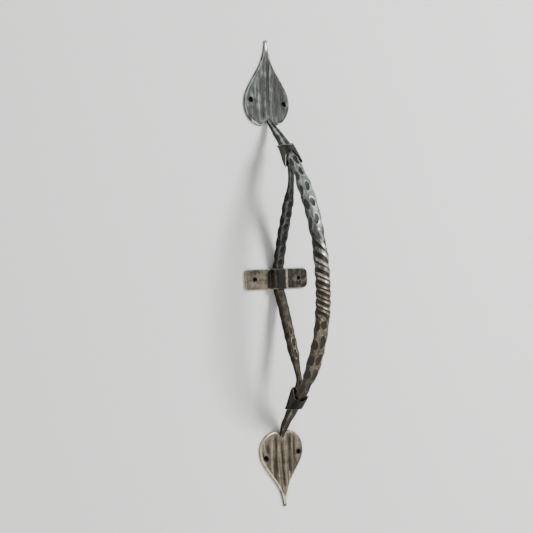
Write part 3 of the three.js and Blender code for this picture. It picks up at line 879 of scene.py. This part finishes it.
# The upper leaf is darkened all over with painted shade. The lower leaf's ridges are brightened
# with wear and painted highlight.
LEAF_FACE = {
    "upper": {"veins": ((-0.24, 0.4, 0.97), (0.04, 0.2, 0.94), (0.36, 0.42, 0.95),
                        (0.68, 0.53, 0.9), (-0.52, 0.62, 0.95)),
              "holes": ((-1, 0.7), (1, 0.745)), "dirt_and_shade": 0.38, "stroke": 0.5, "worn": 0.12,
              "seed": 11},
    "lower": {"veins": ((-0.3, 0.4, 0.97), (0.02, 0.22, 0.9), (0.32, 0.42, 0.98),
                        (0.58, 0.5, 0.97), (-0.66, 0.66, 0.9)),
              "holes": ((-1, 0.655), (1, 0.7)), "dirt_and_shade": 0.02, "stroke": 0.75, "worn": 0.45,
              "seed": 23},
}
print("a leaf has", len(LEAF_FACE["upper"]["veins"]), "strokes of the fuller")

# %% Outline of a leaf
EDGE_WANDER = 0.25
EDGE_ROUGHNESS = 0.16
NICK_DEPTH = 0.9
NICK_LEVEL = 0.42


def bezier(a, b, c, d, count=200):
    t = np.linspace(0, 1, count)[:, None]
    a, b, c, d = (np.array(p, float) for p in (a, b, c, d))
    return (1 - t) ** 3 * a + 3 * (1 - t) ** 2 * t * b + 3 * (1 - t) * t**2 * c + t**3 * d


def evenly(points, count):
    """The same open line with its points evenly spaced."""
    steps = np.linalg.norm(np.diff(points, axis=0), axis=1)
    travel = np.concatenate([[0], np.cumsum(steps)])
    wanted = np.linspace(0, travel[-1], count)
    return np.column_stack([np.interp(wanted, travel, column) for column in points.T])


def leaf_outline(leaf, count):
    """Closed outline of a leaf, tip first: across and down from the tip."""
    half = np.concatenate([
        bezier((LEAF_TIP_HALF / leaf["half"], 0), (0.11, 0.27), (0.41, 0.35), (0.74, 0.515)),
        bezier((0.74, 0.515), (0.93, 0.61), (1, 0.665), (1, 0.745))[1:],
        bezier((1, 0.745), (1, 0.87), (0.74, 0.985), (0.3, 1))[1:],
        bezier((0.3, 1), (0.2, 0.995), (0.06, 0.97), (0, 0.955))[1:],
    ]) * (leaf["half"], leaf["length"])
    half = evenly(half, count // 2)
    return np.concatenate([half, half[-2::-1] * (-1, 1)])


def noise_over(points, stretch, seed):
    """Noise at points on the leaf, stretched by its own scale across and down."""
    return np.array([noise.noise((stretch[0] * x, stretch[1] * y, seed)) for x, y in points])


def nicked(outline, seed):
    """Draws the edge in here and there, as blows and knocks leave it."""
    forward = unit(np.roll(outline, -1, axis=0) - np.roll(outline, 1, axis=0))
    inward = np.column_stack([-forward[:, 1], forward[:, 0]])
    fine = noise_over(outline, (0.9, 0.9), seed + 3)
    depth = EDGE_WANDER * noise_over(outline, (0.22, 0.22), seed) + EDGE_ROUGHNESS * fine
    depth = depth + NICK_DEPTH * np.clip(np.abs(fine) - NICK_LEVEL, 0, 1)
    depth = np.clip(depth, 0, 1.2) * ease(outline[:, 1], 4, 16)
    return outline + inward * depth[:, None]


def edge_distance(points, outline):
    """Distance of each point from the nearest place on the outline."""
    a, b = outline, np.roll(outline, -1, axis=0)
    along = b - a
    share = np.einsum("ijk,jk->ij", points[:, None] - a, along)
    share = share / np.einsum("jk,jk->j", along, along)
    near = a + np.clip(share, 0, 1)[..., None] * along
    return np.linalg.norm(points[:, None] - near, axis=2).min(axis=1)


print("a leaf's outline has", len(leaf_outline(UPPER_LEAF, LEAF_SPOKES + 1)), "points")

# %% Relief of a leaf
RIDGE_STRETCH = (14, 1.2)
RIDGE_HEIGHT = 0.25
ROUGH_STRETCH = (9, 7)
ROUGH_HEIGHT = 0.22
KNOCK_STRETCH = (5, 4)


def leaf_relief(leaf, face, points, edge):
    """Height of the leaf's face above the door, and its two masks."""
    shares = points / (leaf["half"], leaf["length"])
    across, down = shares.T
    rise = 1 - (1 - np.clip(edge / LEAF_BEVEL, 0, 1)) ** 2
    height = LEAF_RIM * ease(edge, -0.7, 0.5) + (LEAF_THICKNESS - LEAF_RIM) * rise
    strokes = np.zeros(len(points))
    for centre, start, stop in face["veins"]:
        width = STROKE_WIDTH + 0.01 * np.sin(9 * down + 7 * centre)
        window = ease(down, start, start + 0.12) * (1 - ease(down, stop - 0.1, stop))
        drift = 0.02 * np.sin(6 * down + 11 * centre)
        strokes = np.maximum(strokes, window * bump_at(across - centre - drift, 0, width))
    ridges = noise_over(shares, RIDGE_STRETCH, face["seed"])
    rough = noise_over(shares, ROUGH_STRETCH, face["seed"] + 5)
    height -= face["stroke"] * strokes * rise
    height += (RIDGE_HEIGHT * ridges + ROUGH_HEIGHT * rough) * ease(edge, 0.4, 3)
    height += SWELL_HEIGHT * bump_at(points[:, 0], 0, SWELL_WIDTH) * ease(down, 0.7, 0.96)
    knocked = noise_over(shares, KNOCK_STRETCH, face["seed"] + 9)
    # The rim is worn bright, and a painted highlight makes it brighter on the left side than on the
    # right
    rim_wear_and_highlight = np.clip(0.5 - 0.4 * np.sign(across) + 1.4 * knocked, 0, 1)
    throat = bump_at(points[:, 0], 0, 5) * ease(down, 0.86, 0.98)
    shine = np.maximum(RIM_SHINE * rim_wear_and_highlight * (1 - ease(edge, 1, 2.2)), THROAT_SHINE * throat)
    shine += face["worn"] * np.clip(ridges * 2 - strokes, 0, 1)
    black = 0.6 * face["stroke"] * strokes + 0.3 * np.clip(-ridges, 0, 1)
    black_and_shade = face["dirt_and_shade"] + ease(edge, 0.8, 2) * black
    # Painted shade on the thin side of the leaf at its edge
    black_and_shade += SIDE_SHADE * (1 - ease(edge, 0.1, 0.5))
    return height, black_and_shade, shine


def leaf_place(leaf, across, down, height):
    lean = leaf["lean"] * (1 - ease(down, 0, LEAN_LENGTH))
    z = leaf["tip"] - math.copysign(1, leaf["tip"]) * down
    return np.column_stack([leaf["shift"] + lean + across, -height, z])


# %% Mesh of a leaf
LEAF_HEART = 0.62
BELLY_RINGS = 45
EDGE_RINGS = 8
EDGE_STARTS = 0.9


def leaf_mesh(name, leaf, face):
    """The face is a fan of rings round the leaf's heart, and the back is flat and black."""
    outline = nicked(leaf_outline(leaf, LEAF_SPOKES + 1), face["seed"])
    spokes = len(outline)
    heart = np.array([0, LEAF_HEART * leaf["length"]])
    shares = np.concatenate([np.linspace(0, EDGE_STARTS, BELLY_RINGS + 1)[1:],
                             np.linspace(EDGE_STARTS, 1, EDGE_RINGS + 1)[1:]])
    flat = np.concatenate([heart + (outline - heart) * share for share in shares])
    flat = np.concatenate([heart[None], flat])
    edge = edge_distance(flat, outline)
    height, black_and_shade, shine = leaf_relief(leaf, face, flat, edge)
    front = leaf_place(leaf, flat[:, 0], flat[:, 1], height)
    back = leaf_place(leaf, outline[:, 0], outline[:, 1], np.zeros(spokes))
    points = np.concatenate([front, back, leaf_place(leaf, heart[:1], heart[1:], np.zeros(1))])
    faces = [(0, 1 + k, 1 + (k + 1) % spokes) for k in range(spokes)]
    for ring in range(len(shares)):
        start = 1 + ring * spokes
        for k in range(spokes):
            after = (k + 1) % spokes
            faces.append((start + k, start + spokes + k, start + spokes + after, start + after))
    last = len(points) - 1
    first_back = last - spokes
    faces += [(first_back + k, last, first_back + (k + 1) % spokes) for k in range(spokes)]
    back = np.zeros(spokes + 1)
    masks = {"black_and_shade": np.concatenate([black_and_shade, back + 1]), "shine": np.concatenate([shine, back])}
    return solid_mesh(name, points, faces, masks)


# %% Screw holes


def lathe(profile, centre, count=40):
    """A closed solid turned about the line along Y through centre. Profile: (radius, out)."""
    angles = np.arange(count) * math.tau / count
    rings = [np.column_stack([centre[0] + r * np.cos(angles), np.full(count, -out),
                              centre[1] + r * np.sin(angles)]) for r, out in profile]
    # The cutters are black all over, so the walls they cut are black: painted shade inside the
    # screw holes
    black = np.ones(len(rings) * count)
    return solid_mesh("turned", np.concatenate(rings), ring_faces(len(rings), count),
                      {"black_and_shade": black, "shine": 0 * black})


SCREW_HOLE = ((HOLE_RADIUS, -1), (HOLE_RADIUS, LEAF_THICKNESS - SINK_DEPTH),
              (SINK_RADIUS, LEAF_THICKNESS), (SINK_RADIUS, LEAF_THICKNESS + 2))


def hole_place(leaf, side, down):
    z = leaf["tip"] - math.copysign(1, leaf["tip"]) * down * leaf["length"]
    return leaf["shift"] + side * HOLE_SPACING / 2, z


leaves = []
screw_places = []
for key, leaf in (("upper", UPPER_LEAF), ("lower", LOWER_LEAF)):
    face = LEAF_FACE[key]
    places = [hole_place(leaf, side, down) for side, down in face["holes"]]
    holes = [lathe(SCREW_HOLE, place) for place in places]
    made = carved(leaf_mesh(key + "_leaf", leaf, face), "DIFFERENCE", holes)
    # No brush reaches the back, also not where a hole was cut through it
    masks = (made.attributes[mask].data for mask in MASKS)
    for vertex, black, bright in zip(made.vertices, *masks):
        if vertex.co.y > -BACK_DEPTH * MM:
            black.value, bright.value = 1, 0
    leaves.append(made)
    screw_places += places
    print(key, "leaf:", len(made.polygons), "faces")

# %% [markdown]
# ## One piece from bar and leaves
#
# The bar and its leaves were never apart, so a boolean union makes them one closed mesh. Every
# finished piece gets its material, rides on the pull's one body, and takes the place of the
# plain CAD node of the same name.

# %% Joining the grip
SHARP_ANGLE = math.radians(50)


def keep_piece(name, mesh, finish):
    """Makes a finished mesh a piece of the pull: its finish, its body and the node it replaces."""
    mesh.materials.clear()
    mesh.materials.append(finish)
    mesh.shade_smooth()
    mesh.set_sharp_from_angle(angle=SHARP_ANGLE)
    piece = object_of(name, mesh)
    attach(piece, "root")
    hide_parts(name.removesuffix("_forged"))
    report(piece)


keep_piece("grip_bar_forged", carved(grip_mesh, "UNION", leaves), BRUSHED_IRON)

# %% [markdown]
# ## The rear bar
#
# The rear bar starts inside the upper collar, bows back to the door, lies flat on it under the
# strap and comes forward again. Its line goes through points that are known from the CAD
# model, joined by the same smooth curve. The smith worked it all over, so its hammer marks are
# shorter than those of the grip and meet in a net of worn ridges.

# %% Line of the rear bar
REAR_HALF = 5.2
REAR_END_HALF = 2.9
REAR_TIP_HALF = 2
SEAT_CUT = 0.4
REAR_HOLD_Z = 12
BAR_GAP = 0.4
STRAP_HEIGHT = 21
HELD_SHARES = (0.42, 0.51, 0.6)
REAR_ROUTE = ((0, -35.6, 103), (0, -33.4, 91), (0, -24, 65.5), (0, -13.6, 40), (0, -9.2, 26),
              (0, -6.6, 18), (0, SEAT_CUT - REAR_HALF, REAR_HOLD_Z),
              (0, SEAT_CUT - REAR_HALF, -REAR_HOLD_Z), (0, -7, -18), (0, -10.2, -26),
              (0, -14.8, -39), (0, -24.2, -66), (0, -33, -92), (0, -35.6, -103))


def beside_grip(z):
    """A point on the door side of the grip, where the rear bar lies against it."""
    middle, side, out = bar_frame(grip_middle, z)
    return middle - out * (NECK_HALF + BAR_GAP + REAR_END_HALF)


def held_points(spec):
    return [beside_grip(mix(spec["rim"], spec["heel"], share)) for share in HELD_SHARES]


def smooth_line(points, steps=60):
    """A centripetal Catmull-Rom curve through the points."""
    points = np.array([2 * points[0] - points[1], *points, 2 * points[-1] - points[-2]])
    line = []
    for a, b, c, d in zip(points, points[1:], points[2:], points[3:]):
        ta = 0
        tb = ta + np.linalg.norm(b - a) ** 0.5
        tc = tb + np.linalg.norm(c - b) ** 0.5
        td = tc + np.linalg.norm(d - c) ** 0.5
        t = np.linspace(tb, tc, steps, endpoint=False)[:, None]
        ab = (tb - t) / (tb - ta) * a + (t - ta) / (tb - ta) * b
        bc = (tc - t) / (tc - tb) * b + (t - tb) / (tc - tb) * c
        cd = (td - t) / (td - tc) * c + (t - tc) / (td - tc) * d
        abc = (tc - t) / (tc - ta) * ab + (t - ta) / (tc - ta) * bc
        bcd = (td - t) / (td - tb) * bc + (t - tb) / (td - tb) * cd
        line.append((tc - t) / (tc - tb) * abc + (t - tb) / (tc - tb) * bcd)
    return np.concatenate([*line, points[-2:-1]])


rear_line = smooth_line([*held_points(COLLARS["collar_upper"]),
                         *(np.array(point, float) for point in REAR_ROUTE),
                         *held_points(COLLARS["collar_lower"])[::-1]])
print("the rear bar's line has", len(rear_line), "points")

# %% Rear bar
REAR_STEP = 0.9
REAR_SMOOTHER = 0.6
REAR_EDGE = 0.6


def rear_stations(line):
    """The rear bar's values: smoother under the strap and just below it, hammered elsewhere."""
    length = np.linalg.norm(np.diff(line, axis=0), axis=1).sum()
    line = evenly(line, round(length / REAR_STEP))
    travel = np.linspace(0, length, len(line))
    along = unit(np.gradient(line, axis=0))
    side = unit(np.array([1.0, 0, 0]) - along * along[:, :1])
    from_end = np.minimum(travel, length - travel)
    drawn = mix(REAR_END_HALF, REAR_HALF, ease(from_end, 22, 48))
    half = mix(REAR_TIP_HALF, drawn, ease(from_end, 0, 8))
    under_strap = 1 - ease(np.abs(line[:, 2]), STRAP_HEIGHT / 2, STRAP_HEIGHT / 2 + 4)
    smoother = REAR_SMOOTHER * ease(line[:, 2], -72, -45) * (1 - ease(line[:, 2], -12, 0))
    worked = ease(half, REAR_END_HALF, REAR_HALF) * (1 - under_strap) * (1 - smoother)
    none = np.zeros(len(line))
    return {"middle": line * MM, "side": side, "out": np.cross(along, side), "half": half * MM,
            "flat": none + 1, "turn": none, "hammered": worked, "weight": none + 1,
            "incised": none, "lined": none, "wedged": none, "dirt_and_shade": none,
            "edge": none + REAR_EDGE, "along": travel * MM}


REAR_SIZES = {"Steps round": 96, "Dent pitch": 0.0125, "Dent stagger": 0.5, "Dent black": 1.0,
              "Dent rim": 1.1, "Seed": 9}
rear_mesh = forged("rear_bar", rear_stations(rear_line), REAR_SIZES, BLACK_IRON)
for vertex in rear_mesh.vertices:
    vertex.co.y = min(vertex.co.y, 0)
keep_piece("rear_bar_forged", rear_mesh, BLACK_IRON)

# %% [markdown]
# ## The collars
#
# A collar is a strip of sheet wrapped hot round both bars. Seen in section it hugs the grip in
# front and the rear bar behind. Its rim is level. Its mouth has a peak in front, and from there
# its edge falls to both sides and to a heel at the door side. Each line of the mesh runs down
# the outside, round the lip, up the inside and round the rim, which gives the sheet its
# thickness and worn edges.

# %% Section and mouth of a collar
COLLAR_WALL = 1.5
LIP_SIDE_SHIFT = -2
COLLAR_STEPS = 120
COLLAR_ROWS = 26
SHEET_WOBBLE = 0.35
SHEET_WOBBLE_SCALE = 0.13
COLLAR_SEED = 4.0
RIGHT_SHADE = 0.7


def squarish(angles, half):
    return half / (np.abs(np.cos(angles)) ** 3 + np.abs(np.sin(angles)) ** 3) ** (1 / 3)


def collar_ring(z, spec, grow):
    """Section of a collar round both bars at height z."""
    middle, side, out = bar_frame(grip_middle, z)
    bar_end = mix(spec["rim"], spec["heel"], HELD_SHARES[0])
    closing = min(max((z - bar_end) / (spec["rim"] - bar_end), 0), 1)
    shift = (1 - closing) * (NECK_HALF + BAR_GAP + REAR_END_HALF)
    rear = mix(REAR_END_HALF, NECK_HALF, closing) + grow
    angles = np.arange(COLLAR_STEPS) * math.tau / COLLAR_STEPS
    front = np.sin(angles) >= -1e-9
    radius = np.where(front, squarish(angles, NECK_HALF + grow), squarish(angles, rear))
    behind = np.where(front, 0, shift)
    return middle + np.outer(radius * np.cos(angles), side) \
        + np.outer(radius * np.sin(angles) - behind, out)


def mouth_height(spec, points):
    """Height of the mouth's edge: it falls towards the heel, and to both sides of its peak."""
    lip_out = grip_out(spec["lip"]) + NECK_HALF + COLLAR_WALL
    heel = beside_grip(mix(spec["rim"], spec["heel"], HELD_SHARES[-1]))
    heel_out = -heel[1] - REAR_END_HALF - COLLAR_WALL + 1
    up = math.copysign(1, spec["rim"])
    middle_heel = spec["heel"] + up * spec["left_fall"] * (NECK_HALF + BAR_GAP + COLLAR_WALL)
    height = np.interp(-points[:, 1], (heel_out, lip_out), (middle_heel, spec["lip"]))
    aside = points[:, 0] - LIP_SIDE_SHIFT
    fall = np.where(aside < 0, -aside * spec["left_fall"], aside * spec["right_fall"])
    return height - up * fall


def rim_height(spec, points):
    """Height of the rim: level, but for the right wing of the upper collar, which stands up."""
    return spec["rim"] + spec["wing"] * ease(points[:, 0], 0.8, 3.2)


upper = COLLARS["collar_upper"]
lip_point = np.array([[LIP_SIDE_SHIFT, -grip_out(upper["lip"]) - NECK_HALF - COLLAR_WALL, 0]])
print("the upper mouth's peak is at", round(float(mouth_height(upper, lip_point)[0]), 1), "mm")

# %% Sheet of a collar


def passes_zero(falling):
    """Where a row of values falls past zero, counted in steps, or its end if it never does."""
    below = np.nonzero(falling < 0)[0]
    if len(below) == 0:
        return len(falling) - 1
    after = max(below[0], 1)
    before = falling[after - 1]
    return after - 1 + np.clip(before / (before - falling[after]), 0, 1)


def collar_skin(spec, grow, rows):
    """Points of the sheet from rim to mouth, a row at a time, at one distance from the bars."""
    up = math.copysign(1, spec["rim"])
    heights = np.linspace(spec["rim"] + 9 * up, spec["heel"] + 2 * up, 90)
    rings = np.array([collar_ring(z, spec, grow) for z in heights])
    past_rim = np.array([up * (ring[:, 2] - rim_height(spec, ring)) for ring in rings])
    past_mouth = np.array([up * (ring[:, 2] - mouth_height(spec, ring)) for ring in rings])
    skin = np.empty((rows, COLLAR_STEPS, 3))
    for k in range(COLLAR_STEPS):
        travel = np.linspace(passes_zero(past_rim[:, k]), passes_zero(past_mouth[:, k]), rows)
        for axis in range(3):
            skin[:, k, axis] = np.interp(travel, np.arange(len(heights)), rings[:, k, axis])
    return skin


def collar_mesh(name, spec):
    """The sheet's loops: down the outside, round the lip, up the inside and round the rim."""
    rows = COLLAR_ROWS
    outer = collar_skin(spec, BAR_GAP + COLLAR_WALL, rows)
    inner = collar_skin(spec, BAR_GAP, rows)
    middle = (outer + inner) / 2
    run = outer[-1] - outer[-2]
    rim_run = outer[0] - outer[1]
    loop = np.array([*outer[:-1], outer[-1] - 0.5 * run, middle[-1] + 0.35 * unit(run),
                     inner[-1] - 0.5 * (inner[-1] - inner[-2]), *inner[-2::-1],
                     middle[0] + 0.35 * unit(rim_run)])
    count = len(loop)
    wander = np.array([[noise.noise(point * SHEET_WOBBLE_SCALE) for point in ring]
                       for ring in loop + COLLAR_SEED])
    loop += SHEET_WOBBLE * wander[..., None] * unit((outer - inner).mean(axis=0))
    nearness = np.array([min(i, count - 1 - i, abs(i - rows), abs(i - rows + 1))
                         for i in range(count)])
    worn = np.repeat(1 - ease(nearness, 0.2, 1.4), COLLAR_STEPS)
    # Painted shade on the collar's right side, and on the whole lower collar
    shaded = RIGHT_SHADE * ease((loop[..., 0] - middle[..., 0].mean()).ravel(), 3, 6)
    masks = {"black_and_shade": (spec["dirt_and_shade"] + shaded) * (1 - 0.8 * worn), "shine": worn}
    faces = ring_faces(count, COLLAR_STEPS, endless=True)
    return solid_mesh(name, loop.reshape(-1, 3), faces, masks)


for name, spec in COLLARS.items():
    keep_piece(name + "_forged", collar_mesh(name, spec), SHEET_IRON)

# %% [markdown]
# ## The saddle strap
#
# A flat strap is bent over the rear bar like a saddle, with a tab on each side. Its section, a
# thin rectangle with eased edges, follows the bent line from end to end, and is narrowed over
# the last few millimetres to round the tabs' corners. The two screw holes are cut afterwards.

# %% Line and section of the strap
STRAP_THICKNESS = 2.4
LEFT_REACH = 38.2
RIGHT_REACH = 37
LEFT_CORNER = 3.2
RIGHT_CORNER = 6
BEND = 2.4
STRAP_HOLE_INSET = 11
STRAP_HOLE_RADIUS = 2.5


def strap_line():
    """Middle line of the strap, from the left tab's end to the right one's: across and out."""
    middle = STRAP_THICKNESS / 2
    wide = REAR_HALF + BAR_GAP + middle
    high = 2 * REAR_HALF - SEAT_CUT + BAR_GAP + middle
    corners = [(-wide, middle), (-wide, high), (wide, high), (wide, middle)]
    route = [(-LEFT_REACH, middle), *corners, (RIGHT_REACH, middle)]
    line = [np.array(route[0])]
    for before, here, after in zip(route, route[1:], route[2:]):
        before, here, after = (np.array(p, float) for p in (before, here, after))
        start = here + unit(before - here) * BEND
        stop = here + unit(after - here) * BEND
        t = np.linspace(0, 1, 12)[:, None]
        line.extend((1 - t) ** 2 * start + 2 * (1 - t) * t * here + t**2 * stop)
    return evenly(np.array([*line, route[-1]]), 200)


def strap_section():
    """Half width and half thickness shares round the strap's section, close at its edges."""
    flat = np.linspace(-1, 1, 31)
    flat = np.sign(flat) * np.abs(flat) ** 0.8
    bulge = np.interp(np.abs(flat), (0, 0.93, 0.98, 1), (1, 1, 0.9, 0.55))
    return np.concatenate([np.column_stack([flat, bulge]), np.column_stack([flat, -bulge])[::-1]])


print("the strap is", round(float(np.linalg.norm(np.diff(strap_line(), axis=0), axis=1).sum()), 1),
      "mm long when laid flat")

# %% Saddle strap
STRAP_WOBBLE = 0.3
BEND_WIDTH = 1.9
BEND_HIGHLIGHT = 0.55
EDGE_SHINE = 0.8
TOP_BAND_DARKENING = 0.22
SADDLE_SHADE = 0.85


def strap_mesh():
    """One ring of the section for each point of the line, shorter near a tab's corners."""
    line = strap_line()
    along = unit(np.gradient(line, axis=0))
    out = np.column_stack([-along[:, 1], along[:, 0]])
    section = strap_section()
    rings, shines, strap_darkening = [], [], []
    for (x, y), (nx, ny) in zip(line, out):
        corner, reach = (LEFT_CORNER, x + LEFT_REACH) if x < 0 else (RIGHT_CORNER, RIGHT_REACH - x)
        short = corner - math.sqrt(max(corner**2 - max(corner - reach, 0) ** 2, 0))
        tip = 0.72 + 0.28 * ease(reach, 0, 0.6)
        width = STRAP_HEIGHT / 2 - short
        up = section[:, 0] * width
        wobble = np.array([noise.noise((0.05 * x, 0.11 * z, 7.0)) for z in up])
        thick = section[:, 1] * tip * STRAP_THICKNESS / 2
        thick = np.where(thick > 0, thick + STRAP_WOBBLE * wobble - 0.1, thick)
        uneven = 1 + 0.012 * noise.noise((0.09 * x, 2.0, 3.0))
        rings.append(np.column_stack([x + nx * thick, -(y + ny * thick), up * uneven]))
        edge = np.minimum(width - np.abs(up), reach + 0 * up)
        # Painted highlight on the right bend of the saddle, and a little painted light on the left
        # tab
        bend = bump_at(x, REAR_HALF, BEND_WIDTH)
        left_face = 1 - ease(x, -REAR_HALF - 1.8, -REAR_HALF + 1)
        shines.append(np.maximum(EDGE_SHINE * (1 - ease(edge, 0.3, 1.3)),
                                 BEND_HIGHLIGHT * bend + 0.08 * left_face))
        # A darker band along the top of the left tab, and painted shade over the saddle and the
        # right tab, in the grip's shade
        band = TOP_BAND_DARKENING * left_face * ease(up, 3, 8)
        right_shade = (SADDLE_SHADE - 0.5 * ease(x, 8, 12)) * (1 - left_face) * (1 - bend)
        strap_darkening.append(band + right_shade)
    faces = ring_faces(len(rings), len(section))
    masks = {"black_and_shade": np.concatenate(strap_darkening), "shine": np.concatenate(shines)}
    return solid_mesh("saddle_strap", np.concatenate(rings), faces, masks)


tab_places = [(STRAP_HOLE_INSET - LEFT_REACH, 0), (RIGHT_REACH - STRAP_HOLE_INSET, 0)]
tab_holes = [lathe(((STRAP_HOLE_RADIUS, -1), (STRAP_HOLE_RADIUS, 4)), place)
             for place in tab_places]
screw_places += tab_places
keep_piece("saddle_strap_forged", carved(strap_mesh(), "DIFFERENCE", tab_holes), STRAP_IRON)

# %% [markdown]
# ## Stage and light
#
# A plain pale sheet stands just behind the pull to take its shadow. From behind the sheet is
# clear, and it holds back no light, so the back of the pull can be looked at too. A small dark
# disc behind each screw hole is painted shade: it stands for the depth of the hole that its
# screw would fill.

# %% Stage
WALL_GAP = 0.0006
FLOOR_Z = -0.36
PALE = (0.8, 0.8, 0.79)
HOLE_SHADE_COLOUR = (0.02, 0.018, 0.015)
PILOT_RADIUS = 2.6
PILOT_STEPS = 24


def sheet_mesh(name, corners):
    mesh = bpy.data.meshes.new(name)
    mesh.from_pydata(corners, [], [tuple(range(len(corners)))])
    return object_of(name, mesh)


def plain_finish(name, colour, clear_behind):
    """A dull finish for the stage, which may be clear from behind and to light."""
    material = bpy.data.materials.new(name)
    material.use_nodes = True
    tree = material.node_tree
    shader = tree.nodes["Principled BSDF"]
    shader.inputs["Base Color"].default_value = (*colour, 1)
    shader.inputs["Roughness"].default_value = 0.9
    shader.inputs["Specular IOR Level"].default_value = 0.1
    if clear_behind:
        calc = sums(tree)
        behind = put(tree, "ShaderNodeNewGeometry").outputs["Backfacing"]
        shadow = put(tree, "ShaderNodeLightPath").outputs["Is Shadow Ray"]
        clear = put(tree, "ShaderNodeBsdfTransparent").outputs[0]
        mixed = put(tree, "ShaderNodeMixShader", calc("MAXIMUM", behind, shadow),
                    shader.outputs[0], clear)
        tree.links.new(mixed.outputs[0], tree.nodes["Material Output"].inputs["Surface"])
    return material


wall = sheet_mesh("wall", [(-3, WALL_GAP, FLOOR_Z), (3, WALL_GAP, FLOOR_Z), (3, WALL_GAP, 2),
                           (-3, WALL_GAP, 2)])
wall.data.materials.append(plain_finish("pale_wall", PALE, True))
floor = sheet_mesh("floor", [(-4, -4, FLOOR_Z), (4, -4, FLOOR_Z), (4, 4, FLOOR_Z),
                             (-4, 4, FLOOR_Z)])
floor.data.materials.append(plain_finish("pale_floor", PALE, False))
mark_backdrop(wall, floor)

hole_shade = plain_finish("hole_shade", HOLE_SHADE_COLOUR, True)
angles = [math.tau * k / PILOT_STEPS for k in range(PILOT_STEPS)]
for x, z in screw_places:
    hole = sheet_mesh("hole_shade_disc", [(MM * (x + PILOT_RADIUS * math.cos(a)), WALL_GAP / 2,
                                      MM * (z + PILOT_RADIUS * math.sin(a))) for a in angles])
    hole.data.materials.append(hole_shade)
    hole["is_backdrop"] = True
print("dark discs behind", len(screw_places), "screw holes")

# %% [markdown]
# ## Light
#
# One large soft light stands in front and a little to the right, as its highlights show, and
# weaker ones fill the left side and the back. The pale world lifts what they leave dark.

# %% Lights
LIGHTS = (
    ("key", (1.0, -1.7, 0.9), 0.8, 68),
    ("fill_left", (-1.5, -1.1, 0.2), 1.0, 2.2),
    ("fill_back", (0.7, 1.6, 0.9), 1.2, 30),
)
WORLD_COLOUR = (0.94, 0.94, 0.94, 1)
WORLD_STRENGTH = 0.27


def soft_light(name, place, size, power):
    """A round area light that is turned towards the middle of the pull."""
    data = bpy.data.lights.new(name, "AREA")
    data.shape = "DISK"
    data.size = size
    data.energy = power
    lamp = bpy.data.objects.new(name, data)
    lamp.location = place
    lamp.rotation_mode = "QUATERNION"
    lamp.rotation_quaternion = (-Vector(place)).to_track_quat("-Z", "Y")
    bpy.context.scene.collection.objects.link(lamp)


for name, place, size, power in LIGHTS:
    soft_light(name, place, size, power)
world = bpy.data.worlds.new("pale_room")
bpy.context.scene.world = world
world.use_nodes = True
background = world.node_tree.nodes["Background"]
background.inputs["Color"].default_value = WORLD_COLOUR
background.inputs["Strength"].default_value = WORLD_STRENGTH
print("lights:", [name for name, *rest in LIGHTS])

# %% [markdown]
# ## Sizes, and the end of the frame
#
# Both boxes, the CAD model's and the dressed pull's, are printed. The dressed pull has to
# stay in the box of the CAD model.

# %% Finish
bpy.context.view_layer.update()
dressed_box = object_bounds()
boxes = {"cad": [list(corner) for corner in cad_box],
         "visual": [list(corner) for corner in dressed_box]}
for key, box in boxes.items():
    print(key, "box in mm", [round(x / MM, 1) for corner in box for x in corner])
